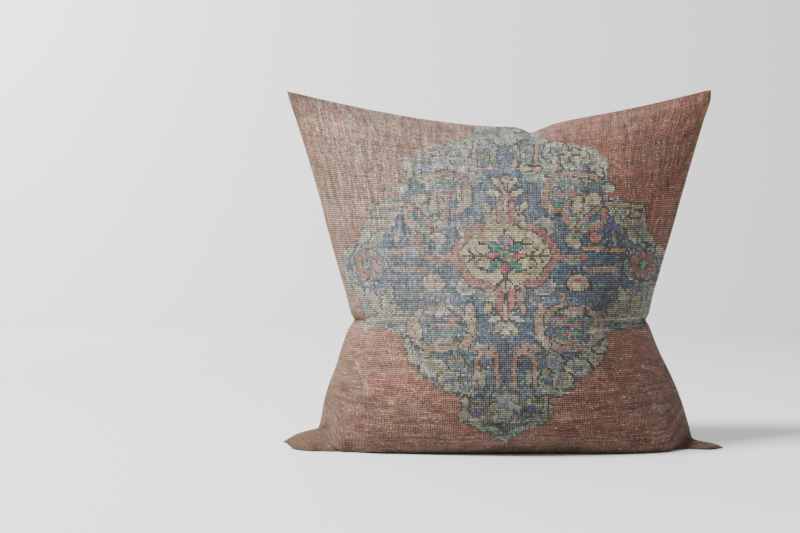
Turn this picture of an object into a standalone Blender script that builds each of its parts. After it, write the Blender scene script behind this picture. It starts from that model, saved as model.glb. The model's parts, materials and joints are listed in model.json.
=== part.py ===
"""Throw pillow: a rug-faced, canvas-backed square cover with a coil zip across its back, round a filled insert.

Metres, +Z up, front towards -Y, +X on the right of someone facing the front. The pillow stands on its
bottom edge, leans back a little, and is nipped in at both sides below the middle.
"""

import math

import bmesh
import bpy
import numpy as np
from mathutils import Matrix, Vector

# The filled cover, standing
WIDTH = 0.495  # between the tips of the two bottom corners
HEIGHT = 0.4135  # to the tips of the two top corners
MIDDLE_HEIGHT = 0.366  # to the top seam, halfway between the corners
DEPTH = 0.230  # front to back where the filling is fullest, without the cloth's own edges
LEAN = 0.123  # how far the seam leans back for each metre of height
LEAN_START = 0.06  # height over which the lean sets in

# Cloth and clearances
RUG_THICKNESS = 0.0030
CANVAS_THICKNESS = 0.0015
RUG_EDGE = 0.0015  # the rug's half of the pressed seam
CANVAS_EDGE = 0.0009
SEAM_GAP = 0.0003
CASING_THICKNESS = 0.0010
CASING_DEPTH_FRONT = 0.0055  # from the cover's outside to the insert's
CASING_DEPTH_BACK = 0.0070  # more, to clear the underside of the zip slider
INSERT_EDGE_DEPTH = 0.0085  # the insert ends where the cover is this deep
INSERT_EASE = 0.010  # distance over which the insert fills out from its edge
UNDER_INSERT = 0.0030  # room between the rug and the insert's underside
INSERT_ROUNDING = 0.05  # share of the cloth over which its lower and upper ends round off
FILL_GAP = 0.0022
THREAD_DIAMETER = 0.0008

# The cover's middle, bottom seam to top seam: share of the cloth, of half the depth, of the middle height
MIDDLE_OUTLINE = (
    (0.000, 0.000, 0.000),
    (0.114, 0.478, 0.000),
    (0.175, 0.700, 0.044),
    (0.248, 0.852, 0.123),
    (0.330, 0.960, 0.230),
    (0.418, 1.000, 0.342),
    (0.596, 0.905, 0.574),
    (0.795, 0.610, 0.820),
    (0.928, 0.260, 0.956),
    (1.000, 0.000, 1.000),
)
# How much higher the side seam is than the middle at one share of the cloth, as a share of the height
SIDE_LIFT = ((0.0, 0.0145), (0.06, 0.039), (0.114, 0.065), (0.18, 0.068), (0.33, 0.0), (0.52, 0.0), (1.0, 0.115))
# The side seam: share of the height, share of half the width
SIDE_OUTLINE = (
    (0.0145, 1.000),
    (0.034, 0.903),
    (0.063, 0.839),
    (0.133, 0.818),
    (0.223, 0.780),
    (0.307, 0.735),
    (0.348, 0.703),
    (0.368, 0.671),
    (0.387, 0.697),
    (0.426, 0.717),
    (0.551, 0.772),
    (0.739, 0.844),
    (0.943, 0.946),
    (1.000, 0.990),
)
NIP_HEIGHTS = (0.348, 0.368, 0.387)  # shares of the height where the sides are nipped in
NIP_CLEARANCE = 0.008  # share of the cloth kept free of other rows round each of them

# The zip, laid along an arc round an upright axis
ZIP_HEIGHT = 0.105
ZIP_LENGTH = 0.300  # between its stops
ZIP_WINDOW = 0.0053  # half the gap between the two folded canvas edges
WINDOW_END = 0.004  # how far the gap runs past the stops
TAPE_WIDTH = 0.013
TAPE_THICKNESS = 0.0006
TAPE_DEPTH = 0.0021  # from the canvas face down to the tape
TAPE_EDGE = 0.0010  # from the zip's middle to each tape
TAPE_TAIL = 0.010  # tape past each stop
COIL_WIDTH = 0.0024
COIL_TOP = 0.0002  # above the canvas face
COIL_EDGE = 0.00015
COIL_SPREAD = 0.0010  # how far the slider's wedge parts the two rows
STOP_LENGTH = 0.0025
STOP_GAP = 0.0003
ARC_STEP = math.radians(3.6)

SLIDER_LENGTH = 0.0115
SLIDER_FRONT = 0.0047  # half its width at the wide end
SLIDER_TAIL = 0.0038
PLATE_THICKNESS = 0.0010
FLANGE_THICKNESS = 0.0009
SLIDER_GAP = 0.0003
WEDGE_WIDTH = 0.0016
WEDGE_LENGTH = 0.0026
ARCH_SPAN = 0.0057  # clear length under the lug
ARCH_RISE = 0.0024
ARCH_THICKNESS = 0.0009
ARCH_WIDTH = 0.0018
PULL_LENGTH = 0.0235
PULL_THICKNESS = 0.0012
PULL_WIDTH = 0.0060
PULL_SLOT_LENGTH = 0.0059
PULL_SLOT_WIDTH = 0.0032
PULL_BAR = 0.0013
PULL_HOLE = 0.0012  # radius

STITCH_INSET = 0.0022  # from the canvas edge to the line of stitches
STITCH_THICKNESS = 0.0005
TACK_LENGTH = 0.0015
LABEL_WIDTH = 0.030
LABEL_LENGTH = 0.045
LABEL_THICKNESS = 0.0004

FINE = np.linspace(0.0, 1.0, 4001)


def smooth(x):
    x = min(max(x, 0.0), 1.0)
    return x * x * (3 - 2 * x)


def curve_through(points, x):
    """A smooth curve through points (x, value) that never overshoots them."""
    xs = [point[0] for point in points]
    ys = [point[1] for point in points]
    slopes = [(ys[i + 1] - ys[i]) / (xs[i + 1] - xs[i]) for i in range(len(xs) - 1)]
    tangents = [slopes[0]]
    for before, after in zip(slopes, slopes[1:]):
        tangents.append(2 * before * after / (before + after) if before * after > 0 else 0.0)
    tangents.append(slopes[-1])
    x = min(max(x, xs[0]), xs[-1])
    i = max(k for k in range(len(xs) - 1) if x >= xs[k])
    step = xs[i + 1] - xs[i]
    s = (x - xs[i]) / step
    return (
        ys[i] * (1 + 2 * s) * (1 - s) ** 2
        + tangents[i] * step * s * (1 - s) ** 2
        + ys[i + 1] * s * s * (3 - 2 * s)
        + tangents[i + 1] * step * s * s * (s - 1)
    )


def half_depth(level):
    return curve_through([(row[0], row[1]) for row in MIDDLE_OUTLINE], level) * DEPTH / 2


def middle_height(level):
    return curve_through([(row[0], row[2]) for row in MIDDLE_OUTLINE], level) * MIDDLE_HEIGHT


def side_height(level):
    return middle_height(level) + curve_through(SIDE_LIFT, level) * HEIGHT


def half_width(level):
    return curve_through(SIDE_OUTLINE, side_height(level) / HEIGHT) * WIDTH / 2


FINE_HEIGHTS = np.array([middle_height(level) for level in FINE])
FINE_DEPTHS = np.array([half_depth(level) for level in FINE])
FULLEST = int(FINE_DEPTHS.argmax())


def level_at(height):
    """The share of the cloth at a height of the cover's middle."""
    start = int(np.searchsorted(FINE_HEIGHTS, 1e-9))
    return float(np.interp(height, FINE_HEIGHTS[start:], FINE[start:]))


def levels_this_deep(depth):
    """The lowest and the highest share of the cloth where the cover's middle is this deep."""
    low = np.interp(depth, FINE_DEPTHS[: FULLEST + 1], FINE[: FULLEST + 1])
    high = np.interp(depth, FINE_DEPTHS[:FULLEST:-1], FINE[:FULLEST:-1])
    return float(low), float(high)


def arc_angle(level):
    """Half the angle of the arc that the cover bulges in, at one level."""
    return 2 * math.atan(max(half_depth(level), 1e-5) / half_width(level))


def bulge(across, level):
    """How far the cover stands off its seam, without the cloth's edge. across runs from -1 to 1."""
    angle = arc_angle(level)
    return half_depth(level) * (math.cos(angle * across) - math.cos(angle)) / (1 - math.cos(angle))


def reach(depth, level):
    """The share across at which the bulge is this deep."""
    angle = arc_angle(level)
    share = math.cos(angle) + depth * (1 - math.cos(angle)) / max(half_depth(level), 1e-5)
    return math.acos(min(max(share, -1.0), 1.0)) / angle


def place(across, level):
    """x and z of the cloth: the sides stand higher than the middle near the bottom and the top."""
    angle = arc_angle(level)
    x = half_width(level) * math.sin(angle * across) / math.sin(angle)
    rise = smooth((abs(across) - 0.5) / 0.5) if level < 0.5 else abs(across) ** 2.2
    return x, middle_height(level) + (side_height(level) - middle_height(level)) * rise


def leaned(height):
    return LEAN * height * height / (height + LEAN_START)


ZIP_LEVEL = level_at(ZIP_HEIGHT)
ZIP_RADIUS = (half_width(ZIP_LEVEL) ** 2 + half_depth(ZIP_LEVEL) ** 2) / (2 * half_depth(ZIP_LEVEL))
# Puts the origin midway between the foremost and the rearmost point of the cover
FRONTMOST = min(leaned(h) - d for h, d in zip(FINE_HEIGHTS, FINE_DEPTHS)) - RUG_EDGE
REARMOST = max(leaned(h) + d for h, d in zip(FINE_HEIGHTS, FINE_DEPTHS)) + CANVAS_EDGE
SETBACK = (FRONTMOST + REARMOST) / 2
ZIP_AXIS_Y = leaned(ZIP_HEIGHT) - SETBACK + CANVAS_EDGE + half_depth(ZIP_LEVEL) - ZIP_RADIUS
# Canvas this near the zip lies on the zip's own arc
STRIP_HEIGHT = TAPE_EDGE + TAPE_WIDTH + 0.0025
STRIP_FADE = 0.018
STRIP_HALF = ZIP_RADIUS * math.sin((ZIP_LENGTH / 2 + TAPE_TAIL + 0.003) / ZIP_RADIUS)
SIDE_FADE = 0.020


def seam_y(height):
    return leaned(height) - SETBACK


def front_bulge(across, level):
    return bulge(across, level) + RUG_EDGE


def back_bulge(across, level):
    """As the front, but the canvas by the zip follows the zip's arc."""
    x, z = place(across, level)
    free = bulge(across, level) + CANVAS_EDGE
    on_arc = ZIP_AXIS_Y + math.sqrt(max(ZIP_RADIUS**2 - x * x, 0.0)) - seam_y(z)
    near = 1 - smooth((abs(z - ZIP_HEIGHT) - STRIP_HEIGHT) / STRIP_FADE)
    near *= 1 - smooth((abs(x) - STRIP_HALF) / SIDE_FADE)
    return free + (on_arc - free) * near


def cover_point(side, across, level, inset=0.0, floor=0.0):
    """A point of the cover, or of a layer this far inside it. side is -1 in front and 1 at the back."""
    x, z = place(across, level)
    z = max(z, floor)
    out = (front_bulge if side < 0 else back_bulge)(across, level)
    return Vector((x, seam_y(z) + side * max(out - inset, SEAM_GAP / 2), z))


def insert_levels(edge):
    """The lowest and the highest share of the cloth that the insert reaches."""
    return levels_this_deep(2 * edge)


def insert_point(side, across, level, inset, floor, least=SEAM_GAP / 2):
    """A point of the insert, or of a layer this far inside it. It is drawn in towards its own edge."""
    x, z = place(across, level)
    z = max(z, floor)
    out = (front_bulge if side < 0 else back_bulge)(across, level)
    depth = CASING_DEPTH_FRONT if side < 0 else CASING_DEPTH_BACK
    drawn_in = INSERT_EDGE_DEPTH - CASING_THICKNESS - depth
    depth += drawn_in * math.exp(-max(out - INSERT_EDGE_DEPTH, 0.0) / INSERT_EASE)
    low, high = insert_levels(INSERT_EDGE_DEPTH)
    from_end = min(max(min(level - low, high - level) / INSERT_ROUNDING, 0.0), 1.0)
    rounding = math.sqrt(1 - (1 - from_end) ** 2)
    out = CASING_THICKNESS + (out - depth - CASING_THICKNESS) * rounding
    return Vector((x, seam_y(z) + side * max(out - inset, least), z))


def material(name, colour, roughness, metallic=0.0):
    made = bpy.data.materials.new(name)
    made.use_nodes = True
    shader = made.node_tree.nodes["Principled BSDF"]
    shader.inputs["Base Color"].default_value = (*colour, 1.0)
    shader.inputs["Roughness"].default_value = roughness
    shader.inputs["Metallic"].default_value = metallic
    return made


def finished(name, bm, surface, smooth_angle=40.0):
    """The object of a finished bmesh, with its faces turned outwards."""
    bmesh.ops.recalc_face_normals(bm, faces=bm.faces)
    if bm.calc_volume(signed=True) < 0:
        bmesh.ops.reverse_faces(bm, faces=bm.faces)
    mesh = bpy.data.meshes.new(name)
    bm.to_mesh(mesh)
    bm.free()
    mesh.shade_smooth()
    mesh.set_sharp_from_angle(angle=math.radians(smooth_angle))
    mesh.materials.append(surface)
    thing = bpy.data.objects.new(name, mesh)
    bpy.context.scene.collection.objects.link(thing)
    return thing


def evenly(count):
    return np.linspace(-1.0, 1.0, count + 1)


def layer(name, shares, rows, point, surface):
    """A closed sheet from a flat slab, with a column at each share across. point(across, row, inner) places
    its corners."""
    columns = len(shares) - 1
    bm = bmesh.new()
    bmesh.ops.create_grid(bm, x_segments=columns, y_segments=rows, size=1.0)
    bmesh.ops.solidify(bm, geom=bm.faces[:], thickness=1.0)
    middle = sum(vert.co.z for vert in bm.verts) / len(bm.verts)
    for vert in bm.verts:
        across = shares[round((vert.co.x + 1) / 2 * columns)]
        row = round((vert.co.y + 1) / 2 * rows)
        vert.co = point(across, row, vert.co.z < middle)
    return finished(name, bm, surface)


def with_nips(levels):
    """The levels, with those nearest to the nipped sides put exactly where the sides are nipped in."""
    nips = [level_at(share * HEIGHT) for share in NIP_HEIGHTS]
    kept = [level for level in levels if min(abs(level - nip) for nip in nips) > NIP_CLEARANCE]
    return sorted([*kept, *nips])


def cover_rows():
    return with_nips(np.linspace(0.0, 1.0, 22))


def front_panel(surface):
    levels = cover_rows()

    def point(across, row, inner):
        inset = RUG_THICKNESS if inner else 0.0
        return cover_point(-1, across, levels[row], inset, inset)

    return layer("front_panel", evenly(24), len(levels) - 1, point, surface)


WINDOW_SHARE = (ZIP_LENGTH / 2 + WINDOW_END) / ZIP_RADIUS / arc_angle(ZIP_LEVEL)
CLOSED_SHARE = (ZIP_LENGTH / 2 + 3 * WINDOW_END) / ZIP_RADIUS / arc_angle(ZIP_LEVEL)


def window_edge(across):
    """Half the gap between the two canvas edges: open along the zip, closed past its ends."""
    past = (abs(across) - WINDOW_SHARE) / (CLOSED_SHARE - WINDOW_SHARE)
    return ZIP_WINDOW + (SEAM_GAP / 2 - ZIP_WINDOW) * smooth(past)


def back_panel(name, levels, edge_row, edge_sign, surface):
    """One of the two canvas panels. Its row edge_row is the folded edge by the zip."""

    def point(across, row, inner):
        inset = CANVAS_THICKNESS if inner else 0.0
        level = levels[row]
        if row == edge_row:
            level = level_at(ZIP_HEIGHT + edge_sign * window_edge(across))
        return cover_point(1, across, level, inset, inset)

    outside = list(np.linspace(CLOSED_SHARE, 1.0, 5))
    shares = [*(-share for share in reversed(outside)), *np.linspace(-WINDOW_SHARE, WINDOW_SHARE, 19), *outside]
    return layer(name, shares, len(levels) - 1, point, surface)


def back_panels(surface):
    strip = [level_at(ZIP_HEIGHT - STRIP_HEIGHT), level_at(ZIP_HEIGHT + STRIP_HEIGHT)]
    fade = [level_at(ZIP_HEIGHT - STRIP_HEIGHT - STRIP_FADE), level_at(ZIP_HEIGHT + STRIP_HEIGHT + STRIP_FADE)]
    lower = [*np.linspace(0.0, fade[0], 7), (fade[0] + strip[0]) / 2, strip[0], ZIP_LEVEL]
    back_panel("back_panel_lower", lower, len(lower) - 1, -1, surface)
    upper = [ZIP_LEVEL, strip[1], *with_nips([(strip[1] + fade[1]) / 2, *np.linspace(fade[1], 1.0, 11)])]
    back_panel("back_panel_upper", upper, 0, 1, surface)


def insert_rows():
    low, high = insert_levels(INSERT_EDGE_DEPTH)
    ends = (low, low + INSERT_ROUNDING / 4, high - INSERT_ROUNDING / 4, high)
    shared = [level for level in cover_rows() if low + INSERT_ROUNDING / 2 < level < high - INSERT_ROUNDING / 2]
    return sorted([*ends, *shared])


INSERT_REST = RUG_THICKNESS + UNDER_INSERT
INSERT_SHARES = [-1.0, -0.96, *np.linspace(-0.88, 0.88, 13), 0.96, 1.0]


def insert_casing(name, side, surface):
    levels = insert_rows()

    def point(across, row, inner):
        level = levels[row]
        share = across * reach(INSERT_EDGE_DEPTH, level)
        step = CASING_THICKNESS if inner else 0.0
        return insert_point(side, share, level, step, INSERT_REST + step)

    return layer(name, INSERT_SHARES, len(levels) - 1, point, surface)


def insert_fill(surface):
    levels = insert_rows()[1:-1]
    step = CASING_THICKNESS + FILL_GAP

    def point(across, row, inner):
        share = across * reach(INSERT_EDGE_DEPTH, levels[row])
        return insert_point(-1 if inner else 1, share, levels[row], step, INSERT_REST + step, SEAM_GAP / 6)

    return layer("insert_fill", INSERT_SHARES[1:-1], len(levels) - 1, point, surface)


def seam_thread(name, surface):
    """The line of stitches round the cover's seam, as one closed loop of thread between the two layers."""
    edge = RUG_THICKNESS + 2 * THREAD_DIAMETER
    levels = with_nips(np.linspace(*levels_this_deep(2 * edge), 16))
    shares = np.linspace(-1.0, 1.0, 8)
    right = [(reach(edge, level), level) for level in levels]
    top = [(-share * right[-1][0], levels[-1]) for share in shares[1:-1]]
    left = [(-share, level) for share, level in reversed(right)]
    bottom = [(share * right[0][0], levels[0]) for share in shares[1:-1]]
    route = right + top + left + bottom
    path = bpy.data.curves.new(name, "CURVE")
    path.dimensions = "3D"
    path.bevel_depth = THREAD_DIAMETER / 2
    path.bevel_resolution = 1
    spline = path.splines.new("POLY")
    spline.points.add(len(route) - 1)
    for node, (across, level) in zip(spline.points, route):
        x, z = place(across, level)
        z = max(z, edge)
        node.co = (x, seam_y(z), z, 1.0)
    spline.use_cyclic_u = True
    path.materials.append(surface)
    thread = bpy.data.objects.new(name, path)
    bpy.context.scene.collection.objects.link(thread)
    return thread


def arc_bar(name, depths, heights, ends, surface, spread=None):
    """A bar bent along the zip: depths from the canvas face, heights from the zip's middle, ends along it."""
    steps = max(1, math.ceil((ends[1] - ends[0]) / ZIP_RADIUS / ARC_STEP))
    stations = list(np.linspace(*ends, steps + 1))
    if spread:
        flare = np.linspace(SLIDER_ALONG - FLARE_LENGTH / 2, SLIDER_ALONG + FLARE_LENGTH / 2, 7)
        stations = [along for along in stations if abs(along - SLIDER_ALONG) > FLARE_LENGTH]
        stations = sorted({*stations, *flare, *ends})

    def point(along, row, inner):
        radius = ZIP_RADIUS + depths[0 if inner else 1]
        angle = along / ZIP_RADIUS
        height = ZIP_HEIGHT + heights[row] + (spread(along) if spread else 0.0)
        return Vector((radius * math.sin(angle), ZIP_AXIS_Y + radius * math.cos(angle), height))

    return layer(name, stations, 1, point, surface)


SLIDER_ALONG = -ZIP_LENGTH / 2 + SLIDER_LENGTH / 2 + 2 * STOP_GAP  # parked at the closed end
FLARE_LENGTH = 0.0028  # of zip over which the slider parts the two rows
ZIP_TRAVEL = (ZIP_LENGTH - SLIDER_LENGTH - 4 * STOP_GAP) / ZIP_RADIUS  # radians


def slider_frame(along=SLIDER_ALONG):
    """Local x towards the closed end, y up, z out of the pillow; its origin is on the canvas face."""
    angle = along / ZIP_RADIUS
    out = Vector((math.sin(angle), math.cos(angle), 0.0))
    closing = Vector((-math.cos(angle), math.sin(angle), 0.0))
    matrix = Matrix((closing, (0.0, 0.0, 1.0), out)).transposed().to_4x4()
    matrix.translation = out * ZIP_RADIUS + Vector((0.0, ZIP_AXIS_Y, ZIP_HEIGHT))
    return matrix


def coil_spread(sign):
    """The coil rows lie together, and part round the slider's wedge."""

    def spread(along):
        return sign * COIL_SPREAD * smooth((SLIDER_ALONG - along) / FLARE_LENGTH + 0.5)

    return spread


def zip_parts(tape, coil, metal, thread):
    half = ZIP_LENGTH / 2
    tape_top = -TAPE_DEPTH
    for name, sign in (("lower", -1), ("upper", 1)):
        span = sorted((sign * TAPE_EDGE, sign * (TAPE_EDGE + TAPE_WIDTH)))
        ends = (-half - TAPE_TAIL, half + TAPE_TAIL)
        arc_bar(f"zipper_tape_{name}", (tape_top - TAPE_THICKNESS, tape_top), span, ends, tape)
        span = sorted((sign * COIL_EDGE, sign * (COIL_EDGE + COIL_WIDTH)))
        ends = (-half + STOP_GAP, half - STOP_GAP)
        depths = (tape_top + STOP_GAP, COIL_TOP)
        arc_bar(f"zipper_coil_{name}", depths, span, ends, coil, coil_spread(sign))
        span = sorted((sign * TAPE_EDGE, sign * (TAPE_EDGE + COIL_WIDTH)))
        ends = (-half - STOP_LENGTH, -half)
        arc_bar(f"zipper_top_stop_{name}", (tape_top + STOP_GAP, 2 * COIL_TOP), span, ends, metal)
        height = sign * (ZIP_WINDOW + STITCH_INSET)
        span = (height - STITCH_THICKNESS, height + STITCH_THICKNESS)
        ends = (-half - WINDOW_END, half + WINDOW_END)
        depths = (SEAM_GAP, SEAM_GAP + STITCH_THICKNESS)
        arc_bar(f"zipper_stitching_{name}", depths, span, ends, thread)
    span = (-COIL_EDGE - COIL_WIDTH, COIL_EDGE + COIL_WIDTH)
    arc_bar("zipper_bottom_stop", (tape_top + STOP_GAP, 2 * COIL_TOP), span, (half, half + STOP_LENGTH), metal)
    for name, sign in (("closed_end", -1), ("open_end", 1)):
        ends = sorted((sign * (half + WINDOW_END * 3), sign * (half + WINDOW_END * 3 + TACK_LENGTH)))
        span = (-ZIP_WINDOW, ZIP_WINDOW)
        depths = (SEAM_GAP, SEAM_GAP + STITCH_THICKNESS)
        arc_bar(f"zipper_bar_tack_{name}", depths, span, ends, thread)


def slab(outline, low, high):
    """A flat outline given thickness from low to high."""
    bm = bmesh.new()
    face = bm.faces.new([bm.verts.new((x, y, low)) for x, y in outline])
    walls = bmesh.ops.extrude_face_region(bm, geom=[face])["geom"]
    raised = [item for item in walls if isinstance(item, bmesh.types.BMVert)]
    bmesh.ops.translate(bm, verts=raised, vec=(0.0, 0.0, high - low))
    return bm


def box(low, high):
    outline = ((low[0], low[1]), (high[0], low[1]), (high[0], high[1]), (low[0], high[1]))
    return slab(outline, low[2], high[2])


def mirrored_outline(half_outline):
    """A closed outline from its +y half, given from tail to front."""
    return [*half_outline, *((x, -y) for x, y in reversed(half_outline))]


def joined(name, shapes, cuts, frame, surface):
    """One solid from overlapping shapes, less the cuts."""
    whole = finished(name, shapes[0], surface, 30.0)
    whole.matrix_world = frame
    pairs = [("UNION", shape) for shape in shapes[1:]] + [("DIFFERENCE", cut) for cut in cuts]
    for number, (operation, shape) in enumerate(pairs):
        helper = finished(f"{name}.helper_{number}", shape, surface)
        helper.parent = whole
        helper.hide_render = True
        helper.display_type = "WIRE"
        step = whole.modifiers.new(f"{operation.lower()}_{number}", "BOOLEAN")
        step.operation = operation
        step.object = helper
    return whole


def slider(surface):
    tail = -SLIDER_LENGTH / 2
    half = [
        (tail, SLIDER_TAIL * 0.72),
        (tail + 0.0012, SLIDER_TAIL),
        (-0.0012, SLIDER_TAIL),
        (0.0014, SLIDER_FRONT),
        (-tail - 0.0016, SLIDER_FRONT),
        (-tail, SLIDER_FRONT * 0.62),
    ]
    top = COIL_TOP + SLIDER_GAP
    under = -TAPE_DEPTH - TAPE_THICKNESS - SLIDER_GAP
    shapes = [slab(mirrored_outline(half), top, top + PLATE_THICKNESS)]
    shapes.append(slab(mirrored_outline(half), under - PLATE_THICKNESS, under))
    for side in (-1, 1):
        outer = [(x, side * y) for x, y in half[1:5]]
        inner = [(x, y - side * FLANGE_THICKNESS) for x, y in reversed(outer)]
        shapes.append(slab(outer + inner, -TAPE_DEPTH + SLIDER_GAP, top + PLATE_THICKNESS / 2))
    front = -tail - 0.0009
    wedge = [(front - WEDGE_LENGTH, 0.0002), (front - WEDGE_LENGTH / 2, WEDGE_WIDTH / 2), (front, WEDGE_WIDTH / 2)]
    shapes.append(slab(mirrored_outline(wedge), under - PLATE_THICKNESS / 2, top + PLATE_THICKNESS / 2))
    plate_top = top + PLATE_THICKNESS
    roof = plate_top + ARCH_RISE
    arch = ARCH_SPAN / 2
    for end in (-1, 1):
        ends = sorted((end * arch, end * (arch + ARCH_THICKNESS)))
        low = (ends[0], -ARCH_WIDTH / 2, plate_top - PLATE_THICKNESS / 2)
        shapes.append(box(low, (ends[1], ARCH_WIDTH / 2, roof + ARCH_THICKNESS / 2)))
    low = (-arch - ARCH_THICKNESS * 0.8, -ARCH_WIDTH / 2 - 0.0001, roof)
    shapes.append(box(low, (-low[0], ARCH_WIDTH / 2 + 0.0001, roof + ARCH_THICKNESS)))
    return joined("zipper_slider", shapes, [], slider_frame(), surface)


PULL_HEIGHT = COIL_TOP + SLIDER_GAP + PLATE_THICKNESS + ARCH_RISE / 2  # of its hinge line above the canvas


def pull(surface):
    """The pull tab: its bar turns under the slider's lug, and its slot clears the lug."""
    bar = PULL_BAR / 2
    wide = PULL_WIDTH / 2
    tip = -PULL_LENGTH
    half = [(tip, wide * 0.45), (tip + 0.0014, wide * 0.88), (tip + 0.004, wide), (tip + 0.009, wide * 0.86)]
    half += [(-0.011, wide * 0.80), (-0.0075, wide * 0.95), (bar - 0.0008, wide * 0.95), (bar, wide * 0.7)]
    body = slab(mirrored_outline(half), -PULL_THICKNESS / 2, PULL_THICKNESS / 2)
    slot_low = (-bar - PULL_SLOT_LENGTH, -PULL_SLOT_WIDTH / 2, -PULL_THICKNESS)
    slot = box(slot_low, (-bar, PULL_SLOT_WIDTH / 2, PULL_THICKNESS))
    hole = bmesh.new()
    centre = Matrix.Translation((tip + 0.0038, 0.0, 0.0))
    bmesh.ops.create_cone(
        hole,
        cap_ends=True,
        segments=16,
        radius1=PULL_HOLE,
        radius2=PULL_HOLE,
        depth=PULL_THICKNESS * 2,
        matrix=centre,
    )
    frame = slider_frame() @ Matrix.Translation((0.0, 0.0, PULL_HEIGHT))
    return joined("zipper_pull", [body], [slot, hole], frame, surface)


def care_label(surface):
    """A blank satin label, sewn in the back of a side seam and lying between the cover and the insert."""
    level = level_at(ZIP_HEIGHT - STRIP_HEIGHT - STRIP_FADE - LABEL_WIDTH / 2)
    outer_end = reach(RUG_THICKNESS + THREAD_DIAMETER * 3, level)
    edge, _ = place(outer_end, level)
    rows = 2

    def point(across, row, inner):
        height = middle_height(level) + (row / rows - 0.5) * LABEL_WIDTH
        row_level = level_at(height)
        x = edge - LABEL_LENGTH * (across + 1) / 2
        width = half_width(row_level)
        angle = arc_angle(row_level)
        share = math.asin(x * math.sin(angle) / width) / angle
        depth = CANVAS_THICKNESS + 4 * SEAM_GAP + (LABEL_THICKNESS if inner else 0.0)
        return cover_point(1, share, row_level, depth / math.cos(angle * share))

    return layer("care_label", evenly(6), rows, point, surface)


def main():
    for thing in list(bpy.data.objects):
        bpy.data.objects.remove(thing, do_unlink=True)
    rug = material("rug_face", (0.42, 0.19, 0.15), 0.95)
    canvas = material("canvas_back", (0.47, 0.30, 0.21), 0.92)
    casing = material("insert_casing", (0.80, 0.77, 0.70), 0.90)
    filling = material("filling", (0.88, 0.87, 0.84), 1.00)
    tape = material("zip_tape", (0.40, 0.24, 0.17), 0.85)
    coil = material("nylon_coil", (0.34, 0.20, 0.15), 0.45)
    metal = material("antique_brass", (0.52, 0.40, 0.22), 0.38, 1.0)
    thread = material("sewing_thread", (0.50, 0.30, 0.22), 0.75)
    satin = material("label_satin", (0.85, 0.84, 0.80), 0.50)
    front_panel(rug)
    back_panels(canvas)
    insert_casing("insert_casing_front", -1, casing)
    insert_casing("insert_casing_back", 1, casing)
    insert_fill(filling)
    seam_thread("perimeter_seam_thread", thread)
    zip_parts(tape, coil, metal, thread)
    slider(metal)
    pull(metal)
    care_label(satin)
    hinge = slider_frame() @ Vector((0.0, 0.0, PULL_HEIGHT))
    print(f"zip arc: radius {ZIP_RADIUS:.6f} m, axis at y {ZIP_AXIS_Y:.6f} m")
    print(f"slider travel {math.degrees(ZIP_TRAVEL):.3f} degrees; pull hinge at", [round(v, 6) for v in hinge])


main()
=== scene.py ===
"""The looks of a throw pillow.

A worn hand-knotted rug front, a cotton canvas back with a coil zip, and a stuffed insert. It stands on its
bottom edge, nipped in at both sides, on a pale floor in soft studio light.
"""

import json
import math

import bmesh
import bpy
import numpy as np
from mathutils import Matrix, Vector


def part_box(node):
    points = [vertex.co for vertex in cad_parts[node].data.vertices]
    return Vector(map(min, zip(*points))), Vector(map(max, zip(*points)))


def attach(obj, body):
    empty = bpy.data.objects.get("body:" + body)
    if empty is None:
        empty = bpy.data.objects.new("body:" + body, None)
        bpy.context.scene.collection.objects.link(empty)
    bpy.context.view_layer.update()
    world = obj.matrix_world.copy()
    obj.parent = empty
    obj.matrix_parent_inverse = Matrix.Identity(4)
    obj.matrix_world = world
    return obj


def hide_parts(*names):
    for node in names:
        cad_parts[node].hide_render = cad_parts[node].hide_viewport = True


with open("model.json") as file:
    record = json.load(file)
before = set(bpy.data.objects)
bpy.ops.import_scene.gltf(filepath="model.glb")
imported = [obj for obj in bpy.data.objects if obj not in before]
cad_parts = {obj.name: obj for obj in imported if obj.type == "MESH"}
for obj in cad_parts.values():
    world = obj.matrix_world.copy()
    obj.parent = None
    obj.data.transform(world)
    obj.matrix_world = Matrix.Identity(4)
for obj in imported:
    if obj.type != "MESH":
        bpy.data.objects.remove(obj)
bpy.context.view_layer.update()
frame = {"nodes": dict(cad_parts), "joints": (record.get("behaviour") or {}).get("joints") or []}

# The flat cover, before it was filled
COLUMNS, ROWS = 236, 222  # knots across and up the front: 2.1 mm by 2.3 mm
CANVAS_THICKNESS = 0.0010
LABEL_THICKNESS = 0.0006

# The filled cover, from the frame
MIDDLE_HEIGHT = 0.3685
HALF_DEPTH = 0.115
LEAN = 0.123
LEAN_START = 0.06
SEAM_FOOT_Y = (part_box("front_panel")[0][1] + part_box("back_panel_upper")[1][1]) / 2 - 0.0113
EDGE = 0.0012  # half the seam's thickness

NIP_HEIGHT = 0.1436
NIP_DEPTH = 0.0052
NIP_SPREAD = 0.0045
# The dent in the top seam, right of the middle, falls faster on its left
DENT_X = 0.0365
DENT_DEPTH = 0.0100
DENT_LEFT, DENT_RIGHT = 0.0115, 0.0230
# The top corners are blunt: pulled in along x and z, and a little stuffed
CORNER_PULL_X, CORNER_PULL_Z = 0.0015, 0.0010
CORNER_STUFFING = 0.0022
# The bottom corners stick out as ears: half their thickness, and how far they come forward
LEFT_EAR, LEFT_EAR_FORWARD = 0.0100, 0.021
RIGHT_EAR, RIGHT_EAR_FORWARD = 0.0035, 0.016

# Share of the cloth from bottom seam to top seam, share of half the depth, share of the middle height
MIDDLE_OUTLINE = (
    (0.000, 0.000, 0.000),
    (0.114, 0.478, 0.000),
    (0.175, 0.700, 0.044),
    (0.248, 0.852, 0.123),
    (0.330, 0.960, 0.230),
    (0.418, 1.000, 0.342),
    (0.596, 0.905, 0.574),
    (0.795, 0.610, 0.820),
    (0.928, 0.260, 0.956),
    (1.000, 0.000, 1.000),
)
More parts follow.
